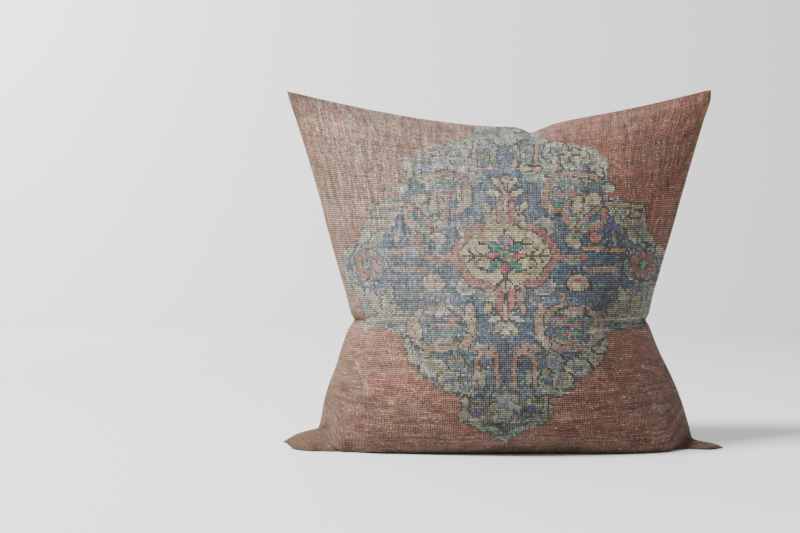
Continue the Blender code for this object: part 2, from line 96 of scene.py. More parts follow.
# Share of the cloth, then the side seam's rise over the middle of the cloth in metres
LEFT_RISE = (
    (0.0, 0.0075),
    (0.03, 0.0122),
    (0.06, 0.0168),
    (0.09, 0.0200),
    (0.114, 0.0228),
    (0.18, 0.0246),
    (0.33, 0.0),
    (0.52, 0.0),
    (1.0, 0.0428),
)
RIGHT_RISE = (
    (0.0, 0.0005),
    (0.05, 0.0028),
    (0.09, 0.0090),
    (0.114, 0.0180),
    (0.18, 0.0240),
    (0.33, 0.0),
    (0.52, 0.0),
    (1.0, 0.0448),
)
# Height of the side seam, then its distance from the centre line
LEFT_OUTLINE = (
    (0.0075, 0.2480),
    (0.0110, 0.2418),
    (0.0158, 0.2325),
    (0.0194, 0.2190),
    (0.0216, 0.2092),
    (0.0300, 0.2064),
    (0.0495, 0.2030),
    (0.0702, 0.1973),
    (0.0908, 0.1893),
    (0.1138, 0.1824),
    (0.1300, 0.1768),
    (0.1440, 0.1724),
    (0.1600, 0.1748),
    (0.2010, 0.1862),
    (0.2400, 0.1974),
    (0.2825, 0.2085),
    (0.3510, 0.2290),
    (0.3950, 0.2438),
    (0.4113, 0.2500),
)
RIGHT_OUTLINE = (
    (0.0005, 0.2487),
    (0.0035, 0.2440),
    (0.0062, 0.2350),
    (0.0078, 0.2225),
    (0.0100, 0.2165),
    (0.0231, 0.2135),
    (0.0495, 0.2062),
    (0.0805, 0.1942),
    (0.1092, 0.1808),
    (0.1333, 0.1722),
    (0.1440, 0.1705),
    (0.1580, 0.1722),
    (0.2010, 0.1845),
    (0.2450, 0.1985),
    (0.2880, 0.2116),
    (0.3750, 0.2392),
    (0.4000, 0.2480),
    (0.4133, 0.2508),
)

FINE = np.linspace(0.0, 1.0, 2001)


def smooth(x):
    x = np.clip(x, 0.0, 1.0)
    return x * x * (3 - 2 * x)


def curve_through(points, x):
    """A smooth curve through points (x, value) that never overshoots them."""
    xs = np.array([point[0] for point in points])
    ys = np.array([point[1] for point in points])
    slopes = np.diff(ys) / np.diff(xs)
    tangents = np.zeros(len(xs))
    tangents[0] = slopes[0]
    tangents[-1] = slopes[-1]
    for i in range(1, len(xs) - 1):
        product = slopes[i - 1] * slopes[i]
        if product > 0:
            tangents[i] = 2 * product / (slopes[i - 1] + slopes[i])
    x = np.clip(x, xs[0], xs[-1])
    i = np.clip(np.searchsorted(xs, x, side="right") - 1, 0, len(xs) - 2)
    step = xs[i + 1] - xs[i]
    s = (x - xs[i]) / step
    return (
        ys[i] * (1 + 2 * s) * (1 - s) ** 2
        + tangents[i] * step * s * (1 - s) ** 2
        + ys[i + 1] * s * s * (3 - 2 * s)
        + tangents[i + 1] * step * s * s * (s - 1)
    )


FINE_DEPTHS = curve_through([(row[0], row[1]) for row in MIDDLE_OUTLINE], FINE) * HALF_DEPTH
FINE_HEIGHTS = curve_through([(row[0], row[2]) for row in MIDDLE_OUTLINE], FINE) * MIDDLE_HEIGHT
LEFT_HEIGHTS = FINE_HEIGHTS + curve_through(LEFT_RISE, FINE)
LEFT_WIDTHS = curve_through(LEFT_OUTLINE, LEFT_HEIGHTS)
RIGHT_HEIGHTS = FINE_HEIGHTS + curve_through(RIGHT_RISE, FINE)
RIGHT_WIDTHS = curve_through(RIGHT_OUTLINE, RIGHT_HEIGHTS)


def table(values, level):
    return np.interp(level, FINE, values)


def level_at(height):
    start = int(np.searchsorted(FINE_HEIGHTS, 1e-9))
    return np.interp(height, FINE_HEIGHTS[start:], FINE[start:])


def seam_y(height):
    height = np.maximum(height, 0.0)
    return LEAN * height * height / (height + LEAN_START) + SEAM_FOOT_Y


def either_side(across, left, right, level):
    """A side seam's value, changing smoothly from the left one to the right one through the middle."""
    share = smooth(across * 2 + 0.5)
    return table(left, level) * (1 - share) + table(right, level) * share


def arc_angle(level):
    width = (table(LEFT_WIDTHS, level) + table(RIGHT_WIDTHS, level)) / 2
    return 2 * np.arctan(np.maximum(table(FINE_DEPTHS, level), 1e-5) / width)


def crease(x, z, start, end, width, depth):
    """How deep a crease is at each point: deepest at its start and running out at its end."""
    run = np.array(end) - np.array(start)
    length = math.hypot(*run)
    along = ((x - start[0]) * run[0] + (z - start[1]) * run[1]) / length
    aside = ((x - start[0]) * run[1] - (z - start[1]) * run[0]) / length
    fade = smooth((length - along) / length) * smooth((along + width * 2) / (width * 2))
    return depth * fade * np.exp(-((aside / width) ** 2))


# Each crease's deepest end, the end where it runs out, its width and its depth. On the front they lie at both
# nips, under the top seam's dent, in from the four corners and up from the foot.
FRONT_CREASES = (
    ((-0.170, 0.1436), (-0.128, 0.1490), 0.0036, 0.0075),
    ((0.168, 0.1436), (0.124, 0.1370), 0.0036, 0.0075),
    ((-0.168, 0.140), (-0.136, 0.126), 0.0050, 0.0030),
    ((0.168, 0.147), (0.132, 0.160), 0.0050, 0.0030),
    ((0.0365, 0.374), (0.033, 0.326), 0.0135, 0.0062),
    ((-0.206, 0.020), (-0.176, 0.027), 0.0036, 0.0075),
    ((-0.196, 0.022), (-0.190, 0.085), 0.0050, 0.0036),
    ((0.200, 0.010), (0.158, 0.076), 0.0110, 0.0042),
    ((-0.238, 0.396), (-0.186, 0.336), 0.0090, 0.0032),
    ((0.240, 0.398), (0.186, 0.336), 0.0100, 0.0036),
    ((-0.120, 0.004), (-0.090, 0.060), 0.0140, 0.0024),
    ((0.060, 0.004), (0.040, 0.050), 0.0140, 0.0020),
)
# On the back they lie at both nips, in from the four corners and both sides, and under the top seam
BACK_CREASES = (
    ((-0.170, 0.1436), (-0.118, 0.1560), 0.0050, 0.0060),
    ((0.168, 0.1436), (0.112, 0.1500), 0.0050, 0.0060),
    ((-0.238, 0.396), (-0.150, 0.300), 0.0100, 0.0048),
    ((-0.226, 0.398), (-0.176, 0.372), 0.0060, 0.0032),
    ((0.240, 0.398), (0.142, 0.310), 0.0110, 0.0052),
    ((0.222, 0.398), (0.160, 0.366), 0.0060, 0.0030),
    ((0.0365, 0.374), (0.046, 0.322), 0.0140, 0.0060),
    ((-0.060, 0.368), (-0.040, 0.338), 0.0120, 0.0026),
    ((-0.188, 0.205), (-0.120, 0.236), 0.0120, 0.0030),
    ((0.190, 0.215), (0.126, 0.222), 0.0120, 0.0030),
    ((-0.206, 0.018), (-0.160, 0.062), 0.0080, 0.0044),
    ((0.210, 0.010), (0.160, 0.064), 0.0090, 0.0044),
)


def creases(rows, x, z):
    """How deep these creases are together at each point."""
    return sum(crease(x, z, *row) for row in rows)


# The zip's arc, from the frame: an upright axis and a radius
ZIP_JOINT = next(joint for joint in frame["joints"] if joint["name"] == "zip_slide")
ZIP_AXIS = Vector(ZIP_JOINT["pos_m"])
ZIP_HEIGHT = ZIP_AXIS.z
ZIP_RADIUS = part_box("back_panel_lower")[1][1] - ZIP_AXIS.y
ZIP_HALF = 0.150
ZIP_WINDOW = 0.0053  # half the gap between the two canvas edges
WINDOW_END = 0.004
# The strip of canvas that keeps to the zip's arc, and how far past it the cloth eases into its own curve
STRIP_HALF_HEIGHT, STRIP_HALF_LENGTH = 0.0165, 0.149
STRIP_EASE_UP, STRIP_EASE_ALONG = 0.018, 0.020


def cover(side, across, level):
    """Points of the filled cover.

    side is -1 in front and 1 at the back. across runs from -1 at the left to 1 at the right, level from 0 at
    the foot to 1 at the top seam.
    """
    angle = arc_angle(level)
    width = either_side(across, LEFT_WIDTHS, RIGHT_WIDTHS, level)
    depth = table(FINE_DEPTHS, level)
    middle = table(FINE_HEIGHTS, level)
    side_z = either_side(across, LEFT_HEIGHTS, RIGHT_HEIGHTS, level)
    out = np.abs(across)
    knee = np.clip(0.94 - level, 0.84, 0.94)
    low_rise = smooth((out - knee) / (1 - knee))
    rise = low_rise + (out**1.5 - low_rise) * smooth((level - 0.12) / 0.26)
    z = middle + (side_z - middle) * rise
    x = width * np.sin(angle * across) / np.sin(angle)
    bulge = (np.cos(angle * across) - np.cos(angle)) / (1 - np.cos(angle))
    # The filling pushes the bottom corners out, so the foot keeps its depth almost to the sides
    boxy = 1 - smooth((level - 0.10) / 0.20)
    bulge = depth * (bulge + (1 - out**7 - bulge) * boxy)
    nip = np.exp(-np.abs(z - NIP_HEIGHT) / NIP_SPREAD)
    near_side = smooth((out - 0.62) / 0.38)
    x = x - np.sign(across) * NIP_DEPTH * nip * near_side**1.6
    bulge = bulge * (1 - 0.30 * nip * near_side)
    dent_side = np.where(x < DENT_X, DENT_LEFT, DENT_RIGHT)
    dent = np.exp(-(np.abs((x - DENT_X) / dent_side) ** 1.4)) * smooth((level - 0.88) / 0.12)
    z = z - DENT_DEPTH * dent
    y = seam_y(z) + side * (bulge + EDGE * smooth(bulge / 0.004))
    if side < 0:
        y = y + creases(FRONT_CREASES, x, z) * smooth((bulge + 0.006) / 0.02)
    else:
        y = y - creases(BACK_CREASES, x, z) * smooth(bulge / 0.02)
        on_arc = ZIP_AXIS.y + np.sqrt(np.maximum(ZIP_RADIUS**2 - x * x, 0.0))
        near = 1 - smooth((np.abs(z - ZIP_HEIGHT) - STRIP_HALF_HEIGHT) / STRIP_EASE_UP)
        near = near * (1 - smooth((np.abs(x) - STRIP_HALF_LENGTH) / STRIP_EASE_ALONG))
        y = y + (on_arc - y) * near
    corner = smooth((level - 0.955) / 0.045) * smooth((out - 0.955) / 0.045)
    x = x - np.sign(across) * CORNER_PULL_X * corner
    z = z - CORNER_PULL_Z * corner
    near_corner = smooth((level - 0.93) / 0.04) * smooth((out - 0.93) / 0.04)
    inside_seams = smooth((1 - level) / 0.012) * smooth((1 - out) / 0.012)
    y = y + side * CORNER_STUFFING * near_corner * inside_seams
    # The left bottom corner is stuffed out and round; the right one is a thin flap
    low = 1 - smooth(z / 0.030)
    left_ear = smooth((-x - 0.196) / 0.022) * low
    right_ear = smooth((x - 0.205) / 0.030) * low
    off_seam = np.sqrt(np.clip((1 - out) / 0.05, 0.0, 1.0)) * np.sqrt(np.clip(level / 0.02, 0.0, 1.0))
    y = y + side * off_seam * (left_ear * LEFT_EAR + right_ear * RIGHT_EAR)
    y = y - right_ear * RIGHT_EAR_FORWARD - smooth((-x - 0.166) / 0.034) * low * LEFT_EAR_FORWARD
    return np.stack([x, y, np.maximum(z, 0.0)], axis=-1)


SETTLING = 72  # faces along each side of the cloth that is let settle
SETTLING_FRAMES = 20
MOST_SETTLED = 0.008
FULLNESS = 1.06  # the cloth is cut 6 % fuller than the form
FILLING_PRESSURE = 4.0
HELD_HALF_HEIGHT, HELD_HALF_LENGTH = 0.024, 0.170  # the strip round the zip that can't move


def settle(side):
    """How far the cover moves when its cloth, cut fuller than the form, is blown up against its seams.

    The seam, the foot and the zip's strip are held. The result is a square grid of moves for shares 0 to 1.
    """

    def point(across, up):
        return cover(side, (across * 2 - 1) * -side, up)

    cloth = grid_mesh("settling_cloth", SETTLING, SETTLING, point)
    mesh = cloth.data
    count = len(mesh.vertices)
    form = np.empty(count * 3)
    mesh.vertices.foreach_get("co", form)
    form = form.reshape(-1, 3)
    order = np.zeros((SETTLING + 1, SETTLING + 1), dtype=int)
    corners = np.empty(len(mesh.loops), dtype=np.int32)
    mesh.loops.foreach_get("vertex_index", corners)
    marks = np.empty(len(mesh.loops) * 2)
    mesh.uv_layers["OFBake"].data.foreach_get("uv", marks)
    steps = np.rint(marks.reshape(-1, 2) * SETTLING).astype(int)
    order[steps[:, 1], steps[:, 0]] = corners

    shares = np.zeros((count, 2))
    shares[corners] = steps / SETTLING
    held = cloth.vertex_groups.new(name="held")
    from_edge = np.minimum(shares, 1 - shares).min(axis=1)
    fixed = (from_edge < 0.5 / SETTLING) | (form[:, 2] < 0.001)
    if side > 0:
        by_zip = np.abs(form[:, 2] - ZIP_HEIGHT) < HELD_HALF_HEIGHT
        fixed |= by_zip & (np.abs(form[:, 0]) < HELD_HALF_LENGTH)
    held.add(np.flatnonzero(fixed).tolist(), 1.0, "REPLACE")

    cloth.shape_key_add(name="form", from_mix=False)
    cut = cloth.shape_key_add(name="cut", from_mix=False)
    middle = form.mean(axis=0)
    cut.data.foreach_set("co", (middle + (form - middle) * FULLNESS).astype(np.float32).ravel())
    cut.value = 0.0

    made = cloth.modifiers.new("settling", "CLOTH")
    settings = made.settings
    settings.quality = 8
    settings.mass = 0.4
    settings.tension_stiffness = 20.0
    settings.compression_stiffness = 20.0
    settings.shear_stiffness = 8.0
    settings.bending_stiffness = 0.4
    settings.air_damping = 4.0
    settings.vertex_group_mass = "held"
    settings.rest_shape_key = cut
    settings.use_pressure = True
    settings.uniform_pressure_force = FILLING_PRESSURE
    settings.effector_weights.gravity = 0.0
    made.collision_settings.use_collision = False
    made.point_cache.frame_start = 1
    made.point_cache.frame_end = SETTLING_FRAMES
    for step in range(1, SETTLING_FRAMES + 1):
        bpy.context.scene.frame_set(step)
    settled = cloth.evaluated_get(bpy.context.evaluated_depsgraph_get())
    after = np.empty(count * 3)
    settled.data.vertices.foreach_get("co", after)
    moves = after.reshape(-1, 3) - form
    far = np.linalg.norm(moves, axis=1)
    moves *= (MOST_SETTLED * np.tanh(far / MOST_SETTLED) / np.maximum(far, 1e-9))[:, None]
    bpy.context.scene.frame_set(1)
    bpy.data.objects.remove(cloth)
    return moves[order]


def between(moves, across, up):
    """The settled cloth's moves at these shares, smoothly between the points of its grid."""
    steps = np.stack([up, across]) * SETTLING
    base = np.clip(np.floor(steps).astype(int), 0, SETTLING - 1)
    part = steps - base
    total = 0.0
    for i in range(-1, 3):
        for j in range(-1, 3):
            weight = cubic_weight(part[0] - i) * cubic_weight(part[1] - j)
            row = np.clip(base[0] + i, 0, SETTLING)
            column = np.clip(base[1] + j, 0, SETTLING)
            total = total + moves[row, column] * weight[..., None]
    return total


def cubic_weight(x):
    """The share of a grid point x steps away, for a smooth curve through every point."""
    x = np.abs(x)
    near = 1.5 * x**3 - 2.5 * x**2 + 1
    far = -0.5 * x**3 + 2.5 * x**2 - 4 * x + 2
    return np.where(x < 1, near, np.where(x < 2, far, 0.0))


def grid_mesh(name, columns, rows, point, uv=None):
    """A sheet of columns by rows faces. point(across, up) gives its corners for shares 0 to 1."""
    bm = bmesh.new()
    bmesh.ops.create_grid(bm, x_segments=columns, y_segments=rows, size=0.5)
    mesh = bpy.data.meshes.new(name)
    bm.to_mesh(mesh)
    bm.free()
    flat = np.empty(len(mesh.vertices) * 3)
    mesh.vertices.foreach_get("co", flat)
    shares = flat.reshape(-1, 3)[:, :2] + 0.5
    points = point(shares[:, 0], shares[:, 1])
    mesh.vertices.foreach_set("co", points.astype(np.float32).ravel())
    layer = mesh.uv_layers.new(name="OFBake")
    corners = np.empty(len(mesh.loops), dtype=np.int32)
    mesh.loops.foreach_get("vertex_index", corners)
    marks = shares if uv is None else uv(shares)
    layer.data.foreach_set("uv", marks[corners].astype(np.float32).ravel())
    mesh.update()
    mesh.shade_smooth()
    thing = bpy.data.objects.new(name, mesh)
    bpy.context.scene.collection.objects.link(thing)
    return thing


# Materials


def linear(hex_colour):
    """A colour's linear values from its sRGB hex value."""
    channels = [int(hex_colour[i : i + 2], 16) / 255 for i in (1, 3, 5)]
    return [c / 12.92 if c <= 0.04045 else ((c + 0.055) / 1.055) ** 2.4 for c in channels]


def add(tree, kind, settings=None, **links):
    """A node of this kind with its settings; each link goes to the input of that name or number."""
    node = tree.nodes.new(kind)
    for key, value in (settings or {}).items():
        setattr(node, key, value)
    for key, source in links.items():
        numbered = key[0] == "i" and key[1:].isdigit()
        socket = node.inputs[int(key[1:]) if numbered else key.replace("_", " ")]
        if isinstance(source, bpy.types.NodeSocket):
            tree.links.new(source, socket)
        else:
            socket.default_value = source
    return node


def new_material(name, roughness, metallic=0.0, sheen=0.0):
    made = bpy.data.materials.new(name)
    made.use_nodes = True
    shader = made.node_tree.nodes["Principled BSDF"]
    shader.inputs["Roughness"].default_value = roughness
    shader.inputs["Metallic"].default_value = metallic
    shader.inputs["Sheen Weight"].default_value = sheen
    return made, made.node_tree, shader


def worn_wool_pile():
    """Hand-knotted wool rug, shorn and worn nearly to its cotton ground: matt, dry, in rows of knots."""
    made, tree, shader = new_material("worn_hand_knotted_wool", 0.93, sheen=0.10)
    shader.inputs["Specular IOR Level"].default_value = 0.22
    shader.inputs["Sheen Roughness"].default_value = 0.6
    chart = add(tree, "ShaderNodeAttribute", {"attribute_name": "knots"})
    marks = add(tree, "ShaderNodeUVMap", {"uv_map": "OFBake"})
    parts = add(tree, "ShaderNodeSeparateXYZ", i0=marks.outputs[0])
    crowns = []
    for axis, count in (("X", COLUMNS), ("Y", ROWS)):
        turn = add(
            tree, "ShaderNodeMath", {"operation": "MULTIPLY"}, i0=parts.outputs[axis], i1=math.pi * count
        )
        wave = add(tree, "ShaderNodeMath", {"operation": "SINE"}, i0=turn.outputs[0])
        crowns.append(add(tree, "ShaderNodeMath", {"operation": "ABSOLUTE"}, i0=wave.outputs[0]))
    # The weft lies deep between two rows of knots; the pale cotton warp shows between two knots of a row
    across = add(tree, "ShaderNodeMath", {"operation": "POWER"}, i0=crowns[0].outputs[0], i1=0.5)
    up = add(tree, "ShaderNodeMath", {"operation": "POWER"}, i0=crowns[1].outputs[0], i1=0.8)
    # Fuzz about 1 mm across
    fuzz = add(
        tree, "ShaderNodeTexNoise", Vector=marks.outputs[0], Scale=480.0, Detail=3.0, Roughness=0.75
    )
    height = add(
        tree, "ShaderNodeMath", {"operation": "MULTIPLY_ADD"}, i0=fuzz.outputs[0], i1=0.8, i2=up.outputs[0]
    )
    # Painted shade: the colour is darkened where the weft lies deep between rows, and lightened as painted
    # light on the knots' crowns
    shade = add(
        tree,
        "ShaderNodeMapRange",
        Value=height.outputs[0],
        From_Min=0.40,
        From_Max=1.40,
        To_Min=0.12,
        To_Max=1.56,
    )
    # Worn patches about 20 mm across
    worn = add(tree, "ShaderNodeTexNoise", Vector=marks.outputs[0], Scale=26.0, Detail=4.0, Roughness=0.7)
    worn = add(
        tree,
        "ShaderNodeMapRange",
        Value=worn.outputs[0],
        From_Min=0.34,
        From_Max=0.66,
        To_Min=0.06,
        To_Max=0.62,
    )
    gap = add(
        tree,
        "ShaderNodeMapRange",
        Value=across.outputs[0],
        From_Min=0.25,
        From_Max=0.80,
        To_Min=1.0,
        To_Max=0.0,
    )
    warp = add(tree, "ShaderNodeMath", {"operation": "MULTIPLY"}, i0=gap.outputs[0], i1=worn.outputs[0])
    bare = add(tree, "ShaderNodeMix", {"data_type": "RGBA"}, Factor=warp.outputs[0])
    tree.links.new(chart.outputs["Color"], bare.inputs["A"])
    bare.inputs["B"].default_value = (*linear("#a5937c"), 1.0)
    tint = add(tree, "ShaderNodeMix", {"data_type": "RGBA", "blend_type": "MULTIPLY"}, Factor=1.0)
    tree.links.new(bare.outputs["Result"], tint.inputs["A"])
    tree.links.new(shade.outputs[0], tint.inputs["B"])
    tree.links.new(tint.outputs["Result"], shader.inputs["Base Color"])
    bump = add(tree, "ShaderNodeBump", Strength=0.5, Distance=0.001, Height=height.outputs[0])
    tree.links.new(bump.outputs[0], shader.inputs["Normal"])
    return made


def plain_woven_cloth(name, base, shade, threads, roughness, bump_mm, sheen=0.1):
    """Plain-weave cloth: even threads both ways, with slubs and a slow drift of colour from the dye.

    threads is the number along 0.5 m: 1.2 mm apart on the canvas and 0.7 mm on the calico, which is a little
    coarser than such cloth is, so that they show.
    """
    made, tree, shader = new_material(name, roughness, sheen=sheen)
    shader.inputs["Specular IOR Level"].default_value = 0.3
    marks = add(tree, "ShaderNodeUVMap", {"uv_map": "OFBake"})
    parts = add(tree, "ShaderNodeSeparateXYZ", i0=marks.outputs[0])
    waves = []
    for axis in ("X", "Y"):
        turn = add(
            tree, "ShaderNodeMath", {"operation": "MULTIPLY"}, i0=parts.outputs[axis], i1=math.pi * threads
        )
        waves.append(add(tree, "ShaderNodeMath", {"operation": "SINE"}, i0=turn.outputs[0]))
    weave = add(
        tree, "ShaderNodeMath", {"operation": "MULTIPLY"}, i0=waves[0].outputs[0], i1=waves[1].outputs[0]
    )
    stretched = add(tree, "ShaderNodeMapping", Vector=marks.outputs[0], Scale=(1.0, 14.0, 1.0))
    # Slubs about 15 mm long and 1 mm thick, and a drift of colour over 150 mm
    slubs = add(
        tree, "ShaderNodeTexNoise", Vector=stretched.outputs[0], Scale=34.0, Detail=5.0, Roughness=0.65
    )
    drift = add(tree, "ShaderNodeTexNoise", Vector=marks.outputs[0], Scale=3.2, Detail=3.0)
    mixed = add(
        tree,
        "ShaderNodeMath",
        {"operation": "MULTIPLY_ADD"},
        i0=weave.outputs[0],
        i1=0.30,
        i2=slubs.outputs[0],
    )
    tone = add(
        tree, "ShaderNodeMath", {"operation": "MULTIPLY_ADD"}, i0=drift.outputs[0], i1=0.5, i2=-0.25
    )
    tone = add(tree, "ShaderNodeMath", {"operation": "ADD"}, i0=mixed.outputs[0], i1=tone.outputs[0])
    ramp = add(tree, "ShaderNodeValToRGB", i0=tone.outputs[0])
    ramp.color_ramp.elements[0].position = 0.24
    ramp.color_ramp.elements[0].color = (*linear(shade), 1.0)
    ramp.color_ramp.elements[1].position = 0.76
    ramp.color_ramp.elements[1].color = (*linear(base), 1.0)
    tree.links.new(ramp.outputs[0], shader.inputs["Base Color"])
    bump = add(tree, "ShaderNodeBump", Strength=0.6, Distance=bump_mm / 1000, Height=mixed.outputs[0])
    tree.links.new(bump.outputs[0], shader.inputs["Normal"])
    return made


def metal_plate(name, bright, dark):
    """Antique brass plate on die-cast zinc: a warm metal, left dark in the hollows and finely scuffed."""
    made, tree, shader = new_material(name, 0.36, metallic=1.0)
    place = add(tree, "ShaderNodeTexCoord")
    # Dark blotches about 2.4 mm across and scuffs about 0.4 mm across
    blotch = add(tree, "ShaderNodeTexNoise", Vector=place.outputs["Object"], Scale=420.0, Detail=4.0)
    ramp = add(tree, "ShaderNodeValToRGB", i0=blotch.outputs[0])
    ramp.color_ramp.elements[0].position = 0.32
    ramp.color_ramp.elements[0].color = (*linear(dark), 1.0)
    ramp.color_ramp.elements[1].position = 0.62
    ramp.color_ramp.elements[1].color = (*linear(bright), 1.0)
    tree.links.new(ramp.outputs[0], shader.inputs["Base Color"])
    scuff = add(tree, "ShaderNodeTexNoise", Vector=place.outputs["Object"], Scale=2600.0, Detail=2.0)
    rough = add(tree, "ShaderNodeMapRange", Value=scuff.outputs[0], To_Min=0.26, To_Max=0.52)
    tree.links.new(rough.outputs[0], shader.inputs["Roughness"])
    return made


def spun_thread(name, colour, roughness=0.7):
    """Twisted sewing thread or moulded nylon: one colour, mottled about every 0.7 mm by twist or wear."""
    made, tree, shader = new_material(name, roughness, sheen=0.1)
    place = add(tree, "ShaderNodeTexCoord")
    twist = add(tree, "ShaderNodeTexNoise", Vector=place.outputs["Object"], Scale=1500.0, Detail=2.0)
    dark = [value * 0.72 for value in linear(colour)]
    ramp = add(tree, "ShaderNodeValToRGB", i0=twist.outputs[0])
    ramp.color_ramp.elements[0].position = 0.35
    ramp.color_ramp.elements[0].color = (*dark, 1.0)
    ramp.color_ramp.elements[1].position = 0.60
    ramp.color_ramp.elements[1].color = (*linear(colour), 1.0)
    tree.links.new(ramp.outputs[0], shader.inputs["Base Color"])
    bump = add(tree, "ShaderNodeBump", Strength=0.4, Distance=0.0002, Height=twist.outputs[0])
    tree.links.new(bump.outputs[0], shader.inputs["Normal"])
    return made


# The rug's chart: one colour for each knot. Its units are about half a knot, from the medallion's centre.

DYES = {
    "madder": "#9c5346",
    "rose": "#b26a61",
    "brick": "#7f3630",
    "rust": "#94583a",
    "umber": "#7d5944",
    "tan": "#b8967c",
    "cream": "#cdbd98",
    "bone": "#cfc8b6",
    "slate": "#3b607c",
    "steel": "#668698",
    "navy": "#22405e",
    "teal": "#2b6a76",
    "emerald": "#22a078",
    "sage": "#93a08a",
    "olive": "#9c9c6c",
    "lavender": "#989099",
    "violet": "#55589a",
    "coral": "#c06a60",
    "peach": "#b78975",
    "crimson": "#b1465a",
    "beige": "#b59a7e",
    "dark": "#2f2c2c",
}

MEDALLION_EDGE = (
    (0, 150),
    (20, 146),
    (37, 118),
    (56, 111),
    (68, 106),
    (82, 101),
    (89, 92),
    (95, 86),
    (101, 77),
    (108, 66),
    (117, 54),
    (138, 51),
    (139, 34),
    (145, 20),
    (155, 1),
    (165, -4),
    (165, -16),
    (156, -26),
    (150, -38),
    (141, -56),
    (138, -69),
    (121, -72),
    (101, -76),
    (98, -93),
    (87, -111),
    (73, -126),
    (60, -137),
    (45, -139),
    (44, -164),
    (30, -170),
    (16, -178),
    (0, -186),
)
WOOL_DEPTH = 0.38  # the dyes are chosen as they look in full light, and wool is darker than it looks

CARTOUCHE_EDGE = (
    (0, 50),
    (4, 42),
    (8, 33),
    (15, 26),
    (27, 23),
    (33, 19),
    (37, 13),
    (42, 8),
    (46, 1),
    (43, -3),
    (39, -8),
    (36, -15),
    (30, -22),
    (15, -25),
    (9, -30),
    (5, -38),
    (0, -46),
)


def polygon_distance(x, z, outline):
    """Distance to a closed outline, less than 0 inside. Its left half mirrors its right half."""
    whole = [*outline, *((-px, pz) for px, pz in reversed(outline[1:-1]))]
    nearest = np.full(x.shape, 1e9)
    inside = np.zeros(x.shape, dtype=bool)
    for (ax, az), (bx, bz) in zip(whole, whole[1:] + whole[:1]):
        run = ((x - ax) * (bx - ax) + (z - az) * (bz - az)) / ((bx - ax) ** 2 + (bz - az) ** 2)
        run = np.clip(run, 0.0, 1.0)
        nearest = np.minimum(nearest, np.hypot(x - ax - run * (bx - ax), z - az - run * (bz - az)))
        crosses = (az > z) != (bz > z)
        rise = bz - az if bz != az else 1.0
        inside ^= crosses & (x < (bx - ax) * (z - az) / rise + ax)
    return np.where(inside, -nearest, nearest)


def oval(x, z, centre, half_width, half_height):
    """Distance to an oval's edge, near enough, less than 0 inside."""
    share = np.hypot((x - centre[0]) / half_width, (z - centre[1]) / half_height)
    return (share - 1) * min(half_width, half_height)


def hoop(x, z, centre, half_width, half_height, band):
    """A band whose outer edge is the oval."""
    return np.abs(oval(x, z, centre, half_width, half_height) + band / 2) - band / 2


def stroke(x, z, start, end, width):
    dx, dz = end[0] - start[0], end[1] - start[1]
    run = np.clip(((x - start[0]) * dx + (z - start[1]) * dz) / (dx * dx + dz * dz), 0.0, 1.0)
    return np.hypot(x - start[0] - run * dx, z - start[1] - run * dz) - width / 2


def path(x, z, points, width):
    return np.minimum.reduce([stroke(x, z, a, b, width) for a, b in zip(points, points[1:])])


def leaf(x, z, centre, length, width, turn):
    """A leaf, pointed at both ends, turned by so many degrees."""
    angle = math.radians(turn)
    along = (x - centre[0]) * math.cos(angle) + (z - centre[1]) * math.sin(angle)
    aside = -(x - centre[0]) * math.sin(angle) + (z - centre[1]) * math.cos(angle)
    return np.abs(aside) - width / 2 * np.maximum(1 - (along / (length / 2)) ** 2, -1.0)


def smooth_noise(rng, shape, cells):
    """Even noise from 0 to 1 that changes over so many cells up and across."""
    coarse = rng.random((cells[0] + 2, cells[1] + 2))
    rows = np.linspace(0, cells[0], shape[0])
    columns = np.linspace(0, cells[1], shape[1])
    i, j = rows.astype(int)[:, None], columns.astype(int)[None, :]
    fi, fj = smooth(rows % 1)[:, None], smooth(columns % 1)[None, :]
    top = coarse[i, j] * (1 - fj) + coarse[i, j + 1] * fj
    low = coarse[i + 1, j] * (1 - fj) + coarse[i + 1, j + 1] * fj
    return top * (1 - fi) + low * fi


class Chart:
    """The knots' dyes, painted one shape over another."""

    def __init__(self, shape, rng):
        self.names = list(DYES)
        self.rng = rng
        self.dye = np.full(shape, self.names.index("madder"))
        # Knots step in runs of two or three along a row
        runs = np.repeat(rng.random((shape[0], shape[1] // 3 + 1)), 3, axis=1)[:, : shape[1]]
        self.ragged = (runs - 0.5) * 1.3 + (rng.random(shape) - 0.5) * 0.6
        # Dyes and outlines change in dashes along the rows, with a few stray knots
        dashes = smooth_noise(rng, shape, (shape[0] // 3, shape[1] // 6)) + 0.35 * rng.random(shape)
        self.grain = (np.argsort(np.argsort(dashes.ravel())) / dashes.size).reshape(shape)

    def one_of(self, dyes):
        grain = np.roll(self.grain, tuple(self.rng.integers(0, 150, 2)), axis=(0, 1))
        return np.array([self.names.index(dye) for dye in dyes])[(grain * len(dyes)).astype(int)]

    def paint(self, distance, *dyes):
        """Knots inside the shape take one of the dyes; a dye is named as often as its share is large."""
        inside = distance + self.ragged < 0
        self.dye[inside] = self.one_of(dyes)[inside]

    def outlined(self, distance, *dyes):
        """The same, with a broken dark line round it."""
        broken = np.roll(self.grain, tuple(self.rng.integers(0, 150, 2)), axis=(0, 1)) < 0.12
        self.paint(np.where(broken, 9.0, distance - 1.7), "dark", "dark", "dark", "navy")
        self.paint(distance, *dyes)

    def speckle(self, inside, share, *dyes):
        hit = inside & (self.rng.random(self.dye.shape) < share)
        self.dye[hit] = self.one_of(dyes)[hit]


